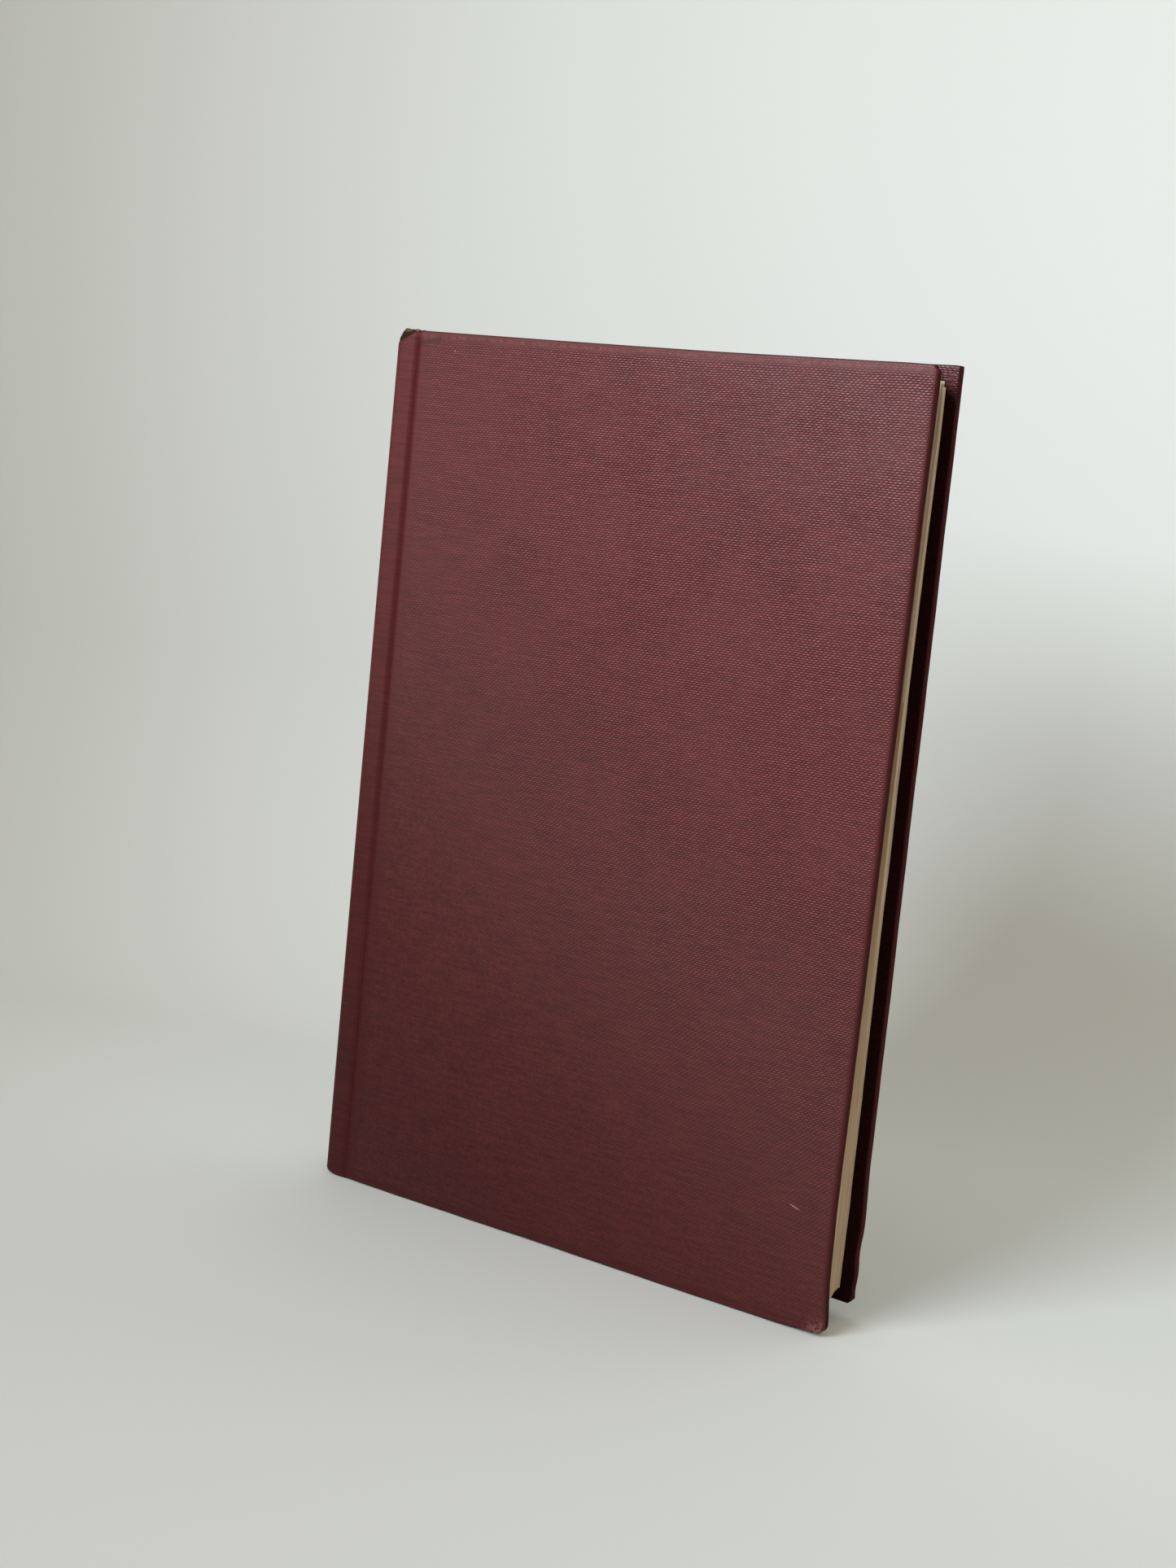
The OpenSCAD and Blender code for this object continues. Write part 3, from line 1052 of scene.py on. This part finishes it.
def edge_group():
    """How near a place is to the outline of a cover, from its Object coordinates in metres."""
    shared, tree, given, result = new_group("cover_edge", ("Edge", "Corner"))
    x, _, z = tree.split(given["Vector"])
    to_fore = FORE_X * MM - x
    to_end = tree.smaller(BOOK_H * MM - z, z)
    tree.put(result["Edge"], tree.smaller(to_fore, to_end))
    tree.put(result["Corner"], tree.root(to_fore ** 2.0 + to_end ** 2.0))
    return shared


weave = weave_group()
mottle = mottle_group()
cover_edge = edge_group()


def new_material(name, roughness, specular, sheen=0.0, tint=(1, 1, 1, 1)):
    """A material with a Principled shader, its tree and the shader's inputs."""
    material = bpy.data.materials.new(name)
    material.use_nodes = True
    shader = material.node_tree.nodes["Principled BSDF"].inputs
    shader["Roughness"].default_value = roughness
    shader["Specular IOR Level"].default_value = specular
    shader["Sheen Weight"].default_value = sheen
    shader["Sheen Roughness"].default_value = 0.45
    shader["Specular Tint"].default_value = tint
    return material, Tree(material.node_tree), shader


# Colours of the cloth, as linear red, green and blue
THREAD = (0.174, 0.023, 0.025, 1)
GROUND = (0.053, 0.006, 0.007, 1)
SMOOTH = (0.108, 0.014, 0.016, 1)
# Painted shade in the groove at the joint and in the small folds
FOLD_SHADE = (0.042, 0.0045, 0.006, 1)
EDGE_SOIL = (0.035, 0.014, 0.011, 1)
# Painted shade along the rounded fore edge
FORE_SHADE = (0.068, 0.010, 0.012, 1)
RUBBED = (0.26, 0.10, 0.10, 1)
TORN = (0.026, 0.009, 0.004, 1)
TAN_THREAD = (0.22, 0.15, 0.07, 1)
SPECK = (0.50, 0.33, 0.30, 1)
PASTE = (0.80, 0.72, 0.54, 1)

# The paste reaches this far from the middle of the height. Where X + Z is above this, the turned-in
# cloth is painted lit, as light that falls over the head of the leaves; below it the turn-in is painted in shade
PASTE_HALF = 105.0
LIT_TURN_IN_FROM = 280.8

# Small folds in the front cover's cloth, painted as dark lines of shade, as the two ends of each in X and Z and its
# half width
FOLDS = ((-64.6, 212.6, -57.2, 214.6, 0.9), (71.2, 4.6, 73.2, 2.2, 0.4), (-65.9, 214.4, -65.1, 211.2, 1.1))

# Pale specks on the front cover, as X, Z and radius, and the two ends of the short scratch
SPECKS = ((57.9, 142.5, 0.17), (55.2, 140.1, 0.13), (-53.6, 211.5, 0.18), (0.5, 103.3, 0.12))
SCRATCH = (61.4, 28.6, 65.3, 27.4)


def cloth_material(name, marks=False, spine=False, painted_rim_shade=0.42):
    """Book cloth: woven threads, slubs and wear, with a faint gloss of size on the raised threads. The
    cloth is smoother at the joint and along the edges, painted darker as shade in the groove at the joint,
    and rubbed at the corners. Painted shade also darkens the face towards the tail and the spine, along the
    rounded fore edge, on the rim and on the turn-in, and a painted lit patch brightens the turn-in above the
    leaves. Its marks tell how far a place lies beyond the face: past the outline it is rim, then turn-in. The
    front cover also has its specks and scratch, and its small folds painted as lines of shade; the spine is
    painted in shade behind its front face. Where its cut edge meets the endpaper it is pasted over."""
    material, tree, shader = new_material(name, 0.6, 0.14, 0.0, (1.0, 0.79, 0.77, 1))
    shader["Coat Roughness"].default_value = 0.42
    shader["Coat IOR"].default_value = 1.75
    step, larger, mix = tree.step, tree.larger, tree.mix
    uv = tree.pattern()
    place = tree.object_place()
    x, y, z = tree.split(place)
    u, v, _ = tree.split(uv)
    woven = tree.group(weave, uv)
    mottled = tree.group(mottle, place, Fine_Scale=1100.0, Slow_Scale=22.0)
    fine = mottled["Fine"]

    past_fore = u - (FORE_X - CORNER_R)
    from_middle = abs(v - BOOK_H / 2)
    past_end = from_middle - (BOOK_H / 2 - CORNER_R)
    square = larger(past_fore, 0.0) ** 2.0 + larger(past_end, 0.0) ** 2.0
    beyond = tree.root(square) + tree.smaller(larger(past_fore, past_end), 0.0)
    rim = step(beyond, 1.0, 1.7)
    inside = step(beyond, 3.0, 3.7)
    outside = 1.0 - inside

    from_joint = abs(x - (HINGE_X - 0.05) * MM)
    near_edge = larger(step(beyond, 0.5, 1.1), step(past_end, -1.7, -0.4))
    smooth = larger(step(from_joint, 1.5 * MM, 5.0 * MM, 1.0, 0.0), near_edge)
    if spine:
        smooth = larger(smooth, 0.7)
    flat = 0.7 * smooth * outside

    toward_head_fore = (4.4 * (0.6 * x + z) + 0.05).clamped()
    clear = (toward_head_fore + 0.22).clamped() * step(toward_head_fore, 0.15, 0.45, 0.38, 1.0)
    clear = clear * step(x, -65 * MM, 5 * MM, 0.6, 1.0)
    worn = fine * step(clear, 0.15, 0.6, 0.6, 0.0) + 0.35 + step(clear, 0.15, 0.6, -0.3, 0.0)
    thread = ((woven["Thread"] - 0.35) * clear + worn).clamped() * (1.0 - flat)
    colour = mix(0.8 * flat, mix(1.02 * thread + 0.04, GROUND, THREAD), SMOOTH)
    uneven = step(woven["Slub"], 0.3, 0.7, 0.85, 1.15) * step(mottled["Slow"], 0.25, 0.75, 0.96, 1.04)
    # Painted fall-off of light over the face: darker towards the tail and the spine, lighter towards the head fore
    # corner
    painted_falloff = tree.smaller(0.72 * toward_head_fore + 0.555, 1.12)
    # Painted light on the turn-in above the leaves, and painted shade on the rim and on the rest of the turn-in
    painted_lit_turn_in = inside * step(z + x, LIT_TURN_IN_FROM * MM, (LIT_TURN_IN_FROM + 3.0) * MM)
    turned = step(rim, 0.0, 1.0, 1.0, painted_rim_shade) * step(inside, 0.0, 1.0, 1.0, 0.7)
    colour = tree.shaded(colour, uneven * (painted_falloff * larger(turned, 0.85 * painted_lit_turn_in)))

    # Painted shade in the groove at the joint, weaker towards the tail
    groove_shade = step(from_joint, 0.3 * MM, 1.5 * MM, 0.55, 0.0) * step(z, 0.0, 0.12, 0.2, 1.0)
    colour = mix(groove_shade, colour, FOLD_SHADE)
    worn_line = step(beyond, -0.9, 0.1) * step(beyond, 0.1, 0.75, 1.0, 0.0) * step(fine, 0.4, 0.6, 0.05, 0.3)
    worn_line = worn_line * step(past_fore, -3.0, -1.0, 1.0, 0.0) * step(z, 0.1, 0.15)
    colour = mix(worn_line, colour, RUBBED)
    rim_soil = step(beyond, 0.6, 1.15) * step(inside, 0.0, 1.0, 0.75, 0.0)
    colour = mix(rim_soil * step(past_end, -1.0, 0.5, 0.1, 1.0), colour, EDGE_SOIL)
    # Painted shade along the rounded fore edge of a cover, weaker towards the tail
    painted_fore_shade = step(past_fore, -0.2, 1.1, 0.0, 0.8) * outside * step(z, 2.0 * MM, 16.0 * MM, 0.3, 1.0)
    colour = mix(painted_fore_shade, colour, FORE_SHADE)
    to_corner = tree.group(cover_edge, place)["Corner"]
    rub = step(5.0 * MM * fine + to_corner, 4.0 * MM, 8.0 * MM, 0.8, 0.0) * step(fine, 0.38, 0.6)
    colour = mix(rub * step(z, 30 * MM, 60 * MM, 1.0, 0.25) * (1.0 - rim), colour, RUBBED)

    gloss = (0.3 * flat + 1.2 * thread) * step(toward_head_fore, 0.13, 0.52, 0.27, 1.0)
    gloss = gloss * step(toward_head_fore, 0.6, 1.0, 1.0, 0.85) * (1.0 - larger(rim - painted_lit_turn_in, painted_fore_shade))
    gloss = gloss * step(from_joint, 0.4 * MM, 1.8 * MM, 0.1, 1.0) * (1.0 - 0.8 * groove_shade)
    if marks:
        # The small folds are painted as shade
        colour = mix(0.6 * folds(tree, x, z), colour, FOLD_SHADE)
        colour = mix(specks_and_scratch(tree, x, z), colour, SPECK)
    if spine:
        torn = torn_mask(tree, x, y, z, fine)
        colour = mix(torn, colour, torn_colour(tree, z, fine))
        gloss = gloss * (0.75 - 0.75 * torn)
        # Painted shade over the spine cloth behind its front face, round the shoulder and the spine
        colour = tree.shaded(colour, step(y, (0.15 - HALF_T) * MM, (0.8 - HALF_T) * MM, 1.0, 0.55))

    pasted = step(abs(y), (HALF_T - 0.34) * MM, (HALF_T - 0.24) * MM, 1.0, 0.0)
    pasted = pasted * step(from_joint, 0.4 * MM, 0.7 * MM, 1.0, 0.0)
    pasted = pasted * step(from_middle, PASTE_HALF - 0.2, PASTE_HALF + 0.2, 1.0, 0.0)
    tree.put(shader["Base Color"], mix(pasted, colour, PASTE))
    tree.put(shader["Coat Weight"], gloss * (1.0 - pasted))
    grain = tree.bumped(fine, 0.035)
    tree.put(shader["Normal"], tree.bumped(woven["Height"] * (1.0 - flat), 0.12, Normal=grain))
    tree.put(shader["Roughness"], larger(0.62 - 0.15 * thread, rim - painted_lit_turn_in))
    return material


def near_line(x, z, ends):
    """Distance to the line through two places, and the share of the way out from its middle to its ends."""
    x0, z0, x1, z1 = ends
    reach = math.hypot(x1 - x0, z1 - z0)
    cos, sin = (x1 - x0) / reach, (z1 - z0) / reach
    off_x = x - (x0 + x1) / 2 * MM
    off_z = z - (z0 + z1) / 2 * MM
    return abs(off_z * cos - off_x * sin), abs(off_x * cos + off_z * sin) / (reach / 2 * MM)


def folds(tree, x, z):
    """Mask of the small folds, painted as shade: dark on their line, soft at their sides and ends."""
    mask = 0.0
    for *ends, half in FOLDS:
        aside, share = near_line(x, z, ends)
        line = tree.step(aside, 0.0, half * MM, 1.0, 0.0) * tree.step(share, 0.6, 1.2, 1.0, 0.0)
        mask = tree.larger(line, mask)
    return mask


def specks_and_scratch(tree, x, z):
    """Mask of the pale specks, as discs, and of the scratch, which narrows from its middle to its ends."""
    mask = 0.0
    for speck_x, speck_z, radius in SPECKS:
        apart = tree.root((x - speck_x * MM) ** 2.0 + (z - speck_z * MM) ** 2.0)
        mask = tree.larger(tree.step(apart, radius * 0.4 * MM, radius * 1.3 * MM, 0.75, 0.0), mask)
    aside, share = near_line(x, z, SCRATCH)
    width = tree.step(share, 0.1, 1.05, 0.13 * MM, -0.03 * MM)
    return tree.larger(mask, tree.step(width - aside, -0.05 * MM, 0.08 * MM, 0.0, 0.65))


def torn_mask(tree, x, y, z, fine):
    """1 above the torn line at the head of the front shoulder, where the cloth is worn through."""
    low_x, low_z, slope = -70.0, 213.2, 0.5
    line = slope * x + (low_z - slope * low_x) * MM
    ragged = 1.2 * MM * (fine - 0.5) + z
    return tree.step(ragged - line, -0.1 * MM, 0.25 * MM) * tree.step(y, -5.0 * MM, -3.0 * MM, 1.0, 0.0)


def torn_colour(tree, z, fine):
    """Dark worn-through cloth, with tan threads towards the head."""
    high = tree.step(z, 215.0 * MM, 216.0 * MM)
    return tree.mix(0.6 * (tree.step(fine, 0.5, 0.6) * high), TORN, TAN_THREAD)


def dry_material(name, scales, look, rough, relief, specular=0.3, sheen=0.0):
    """A material without gloss, over the fibre mottle at two scales. look(tree, place, fine, slow) gives its
    colour and height. Its roughness runs between two values with the fine mottle."""
    material, tree, shader = new_material(name, 0.85, specular, sheen)
    place = tree.object_place()
    mottled = tree.group(mottle, place, Fine_Scale=scales[0], Slow_Scale=scales[1])
    fine = mottled["Fine"]
    colour, height = look(tree, place, fine, mottled["Slow"])
    tree.put(shader["Base Color"], colour)
    tree.put(shader["Roughness"], tree.step(fine, 0.3, 0.7, *rough))
    tree.put(shader["Normal"], tree.bumped(height, relief))
    return material


def paper(colour, toned):
    """Paper: fibres, slow mottling, and browner within some millimetres of the outline."""

    def look(tree, place, fine, slow):
        to_edge = tree.group(cover_edge, place)["Edge"]
        aged = tree.step(14 * MM * slow + to_edge, 8 * MM, 24 * MM, 0.55, 0.0)
        base = tree.mix(tree.larger(aged, tree.step(slow, 0.3, 0.75, 0.0, 0.22)), colour, toned)
        return tree.shaded(base, tree.step(fine, 0.3, 0.7, 0.95, 1.04)), fine

    return look


def cut_leaves(tree, place, fine, slow):
    """Cut edges of the leaves. A leaf's number is its mark over the leaf pitch; each leaf has its own tone,
    groups of leaves differ slowly, the last leaves are paler, and gaps between leaves are painted darker,
    as shade. The edges are painted browner towards the head, as shade from the front cover, and towards
    the back at the tail, as a shaded strip."""
    step = tree.step
    u, v, _ = tree.split(tree.pattern())
    leaf = u / LEAF_PITCH
    number = tree.floor(leaf)
    tone = tree.chance(number)
    within = tree.peak(leaf)
    streak = tree.noise(tree.join(0.7 * number, 0.05 * v), 1.0, 3.0)
    band = tree.noise(tree.join(0.45 * u, 0.006 * v), 1.0)
    # Painted shade: the mix towards brown grows towards the head and, at the tail, towards the back
    up = step(tree.split(place)[2], 0.02, 0.15)
    line = step(u, 0.78 * BLOCK_Y, 0.86 * BLOCK_Y) * step(u, 0.92 * BLOCK_Y, BLOCK_Y, 1.0, 0.7)
    low = 0.5 * step(u, 0.15 * BLOCK_Y, 0.45 * BLOCK_Y) + 0.15 * band
    high = (step(band, 0.2, 0.5, 0.7, 1.0) - line).clamped()
    base = tree.mix((high - low) * up + low, (0.96, 0.77, 0.55, 1), (0.40, 0.24, 0.13, 1))
    shade = step(tone, 0, 1, 0.9, 1.08) * step(streak, 0.3, 0.7, 0.88, 1.1)
    # Painted shade in the gaps between leaves
    shade = shade * step(within, 0.0, 0.2, 0.84, 1.0)
    return tree.shaded(base, shade), 0.4 * fine + (within + 0.5 * tone)


def millboard_look(tree, place, fine, slow):
    """Grey-brown millboard: coarse fibres and dark flecks."""
    base = tree.mix(slow, (0.30, 0.26, 0.20, 1), (0.38, 0.34, 0.27, 1))
    return tree.mix(tree.step(fine, 0.62, 0.7, 0.0, 0.6), base, (0.12, 0.10, 0.08, 1)), fine


def plain_weave(light, dark, pitch):
    """Plain weave of round threads on Object coordinates: along and across threads change over by turns."""

    def look(tree, place, fine, slow):
        _, y, z = tree.split(place)
        across = y / (pitch * MM)
        up = z / (pitch * MM)
        turn = (tree.floor(across) + tree.floor(up)) % 2.0
        over = tree.peak(across) * turn + tree.peak(up) * (1.0 - turn)
        base = tree.mix(tree.step(over, 0.02, 0.4), dark, light)
        return tree.shaded(base, tree.step(slow, 0.3, 0.7, 0.9, 1.06)), 0.2 * fine + over

    return look


def band_thread_look(tree, place, fine, slow):
    """Thread of the head and tail bands: undyed cotton turns with darker gaps between them."""
    u, v, _ = tree.split(tree.pattern())
    ridge = tree.peak(v * (BAND_SLANT / (2 * math.pi)) + u / BAND_TURN)
    base = tree.mix(tree.step(ridge, 0.05, 0.3), (0.62, 0.54, 0.38, 1), (0.80, 0.74, 0.58, 1))
    return tree.shaded(base, tree.step(fine, 0.35, 0.65, 0.9, 1.05)), fine


def card_look(tree, place, fine, slow):
    """Kraft card and paper: long fibres along the height and slow mottling."""
    fibre = tree.noise(tree.scaled(place, 1.0, 1.0, 0.15), 1600.0, 3.0)
    base = tree.mix(slow, (0.36, 0.26, 0.15, 1), (0.26, 0.18, 0.10, 1))
    return tree.shaded(base, tree.step(fibre, 0.3, 0.7, 0.86, 1.1)), fibre


def fray_look(tree, place, fine, slow):
    """Bare threads of the worn cloth: tan and brown by place."""
    return tree.mix(tree.step(slow, 0.35, 0.6), (0.10, 0.055, 0.03, 1), (0.33, 0.25, 0.14, 1)), fine


# Stage, light and camera


def make_sweep():
    """A pale floor that curves up into a wall behind the book. A profile runs along the floor, round a
    quarter circle and up the wall, and is carried sideways. It can't be seen from behind or below."""
    back_turn = math.radians(16)
    wall_at, bend_r, side_reach = 230.0, 110.0, 1400.0
    arc = np.radians(np.linspace(0, 90, 24))
    profile = joined(
        stack(np.linspace(-1600, wall_at - bend_r, 12)[:-1], 0),
        stack(wall_at - bend_r + bend_r * np.sin(arc), bend_r * (1 - np.cos(arc))),
        stack(wall_at, np.linspace(bend_r, 1500, 9)[1:]),
    )
    away = np.array([-math.sin(back_turn), math.cos(back_turn)])
    aside = np.array([math.cos(back_turn), math.sin(back_turn)])
    across = np.linspace(-side_reach, side_reach, 15)
    reach, side = np.meshgrid(np.arange(len(profile)), across, indexing="ij")
    x = profile[reach, 0] * away[0] + side * aside[0]
    y = profile[reach, 0] * away[1] + side * aside[1]
    place = stack(x, y, profile[reach, 1] - 0.02)
    piece = make_piece("sweep", [(place, place[..., :2])])
    material, tree, shader = new_material("sweep_paper", 0.9, 0.1)
    shader["Base Color"].default_value = (0.80, 0.815, 0.79, 1)
    nodes = material.node_tree.nodes
    behind = tree.value("ShaderNodeNewGeometry", out="Backfacing")
    seen = Value(tree, nodes["Principled BSDF"].outputs[0])
    either = tree.value("ShaderNodeMixShader", [behind, seen, tree.value("ShaderNodeBsdfTransparent")])
    tree.put(nodes["Material Output"].inputs["Surface"], either)
    piece.data.materials.append(material)
    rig.stage(piece)


def make_light(name, place, target, size, power, colour, spread=180):
    """A square soft light at place, in millimetres, that faces target. Its light spreads by an angle in
    degrees and fades towards the sides of it."""
    data = bpy.data.lights.new(name, "AREA")
    data.spread = math.radians(spread)
    data.shape = "SQUARE"
    data.size = size * MM
    data.energy = power
    data.color = colour
    light = bpy.data.objects.new(name, data)
    bpy.context.scene.collection.objects.link(light)
    way = np.array(place, float) - np.array(target, float)
    pitch = math.atan2(math.hypot(way[0], way[1]), way[2])
    yaw = math.atan2(way[1], way[0]) + math.pi / 2
    light.matrix_world = (
        Matrix.Translation([c * MM for c in place])
        @ Matrix.Rotation(yaw, 4, "Z")
        @ Matrix.Rotation(pitch, 4, "X")
    )


def make_world(colour, strength):
    """Even pale light from all round."""
    world = bpy.data.worlds.new("studio")
    bpy.context.scene.world = world
    world.use_nodes = True
    back = world.node_tree.nodes["Background"]
    back.inputs["Color"].default_value = colour
    back.inputs["Strength"].default_value = strength


def make_camera():
    """The camera of the photograph, found from the book's corners: its place in millimetres, and its
    turn about Z, tilt below level and roll in degrees."""
    place = (269.28, -435.37, 186.49)
    yaw, tilt, roll = 32.496, -8.182, 5.846
    data = bpy.data.cameras.new("camera")
    data.sensor_width = 36.0
    data.sensor_fit = "AUTO"
    data.lens = 49.92
    data.clip_start = 0.01
    data.clip_end = 20.0
    camera = bpy.data.objects.new("camera", data)
    bpy.context.scene.collection.objects.link(camera)
    camera.matrix_world = (
        Matrix.Translation([c * MM for c in place])
        @ Matrix.Rotation(math.radians(yaw), 4, "Z")
        @ Matrix.Rotation(math.radians(90 + tilt), 4, "X")
        @ Matrix.Rotation(math.radians(roll), 4, "Z")
    )
    bpy.context.scene.camera = camera


# Build

make_camera()

front_cloth = cloth_material("front_cover_cloth", marks=True)
# The back cover's rim is painted in deeper shade than the front's
back_cloth = cloth_material("back_cover_cloth", painted_rim_shade=0.22)
spine_cloth = cloth_material("spine_cloth", spine=True)
endpaper_look = paper((0.80, 0.74, 0.60, 1), (0.62, 0.50, 0.34, 1))
endpaper = dry_material("endpaper", (1400.0, 18.0), endpaper_look, (0.8, 0.92), 0.02)
leaf_look = paper((0.84, 0.76, 0.62, 1), (0.70, 0.58, 0.40, 1))
leaf_paper = dry_material("leaf_paper", (1400.0, 18.0), leaf_look, (0.8, 0.92), 0.02)
leaf_edge = dry_material("leaf_edges", (1500.0, 40.0), cut_leaves, (0.74, 0.9), 0.03, specular=0.1)
millboard = dry_material("millboard", (700.0, 60.0), millboard_look, (0.82, 0.95), 0.05, specular=0.25)
kraft = dry_material("kraft_card", (1200.0, 45.0), card_look, (0.78, 0.92), 0.03)
fray = dry_material("frayed_thread", (2400.0, 900.0), fray_look, (0.7, 0.9), 0.03, sheen=0.1)
band_thread = dry_material("band_thread", (1800.0, 120.0), band_thread_look, (0.74, 0.88), 0.05, sheen=0.15)
gauze_look = plain_weave((0.72, 0.66, 0.52, 1), (0.40, 0.34, 0.24, 1), 0.9)
gauze = dry_material("starched_gauze", (1600.0, 50.0), gauze_look, (0.78, 0.92), 0.12, sheen=0.1)

for side, word, cloth in ((FRONT, "front", front_cloth), (BACK, "back", back_cloth)):
    cover = word + "_cover"
    make_cover_cloth(side, word + "_cover_cloth", word + "_cloth", cover, cloth)
    make_cover_board(side, word + "_cover_board", word + "_board", cover, millboard)
    make_pastedown(side, word + "_glued_endpaper", word + "_pastedown", cover, endpaper)
    make_flyleaf(side, word + "_loose_endpaper", word + "_flyleaf", endpaper)
    make_joint_cloth(side, word + "_joint_cloth", cover, cloth)
    make_gutter_paper(side, word + "_gutter_paper", cover, endpaper)

make_spine_cloth(spine_cloth)
make_spine_stiffener(kraft)
make_frayed_threads(fray)
make_leaf_stack(leaf_edge)
make_raised_leaf(leaf_paper)
make_band("head_band_bead", "head_band", HEAD_Z, 1, band_thread)
make_band("tail_band_bead", "tail_band", TAIL_Z, -1, band_thread)

for node, material in (("spine_gauze", gauze), ("spine_lining", kraft)):
    frame["nodes"][node].material_slots[0].material = material

make_sweep()
make_light("key", (-150.0, -760.0, 540.0), (200.0, 200.0, 230.0), 420.0, 1.64, (0.84, 0.91, 0.98), 70)
make_world((1.0, 0.945, 0.825, 1), 0.5)

bpy.context.scene.view_settings.view_transform = "Standard"

visual_low, visual_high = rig.bounds()
with open("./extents.json", "w") as sizes:
    json.dump({
        "cad": [list(cad_low), list(cad_high)],
        "visual": [list(visual_low), list(visual_high)],
    }, sizes)
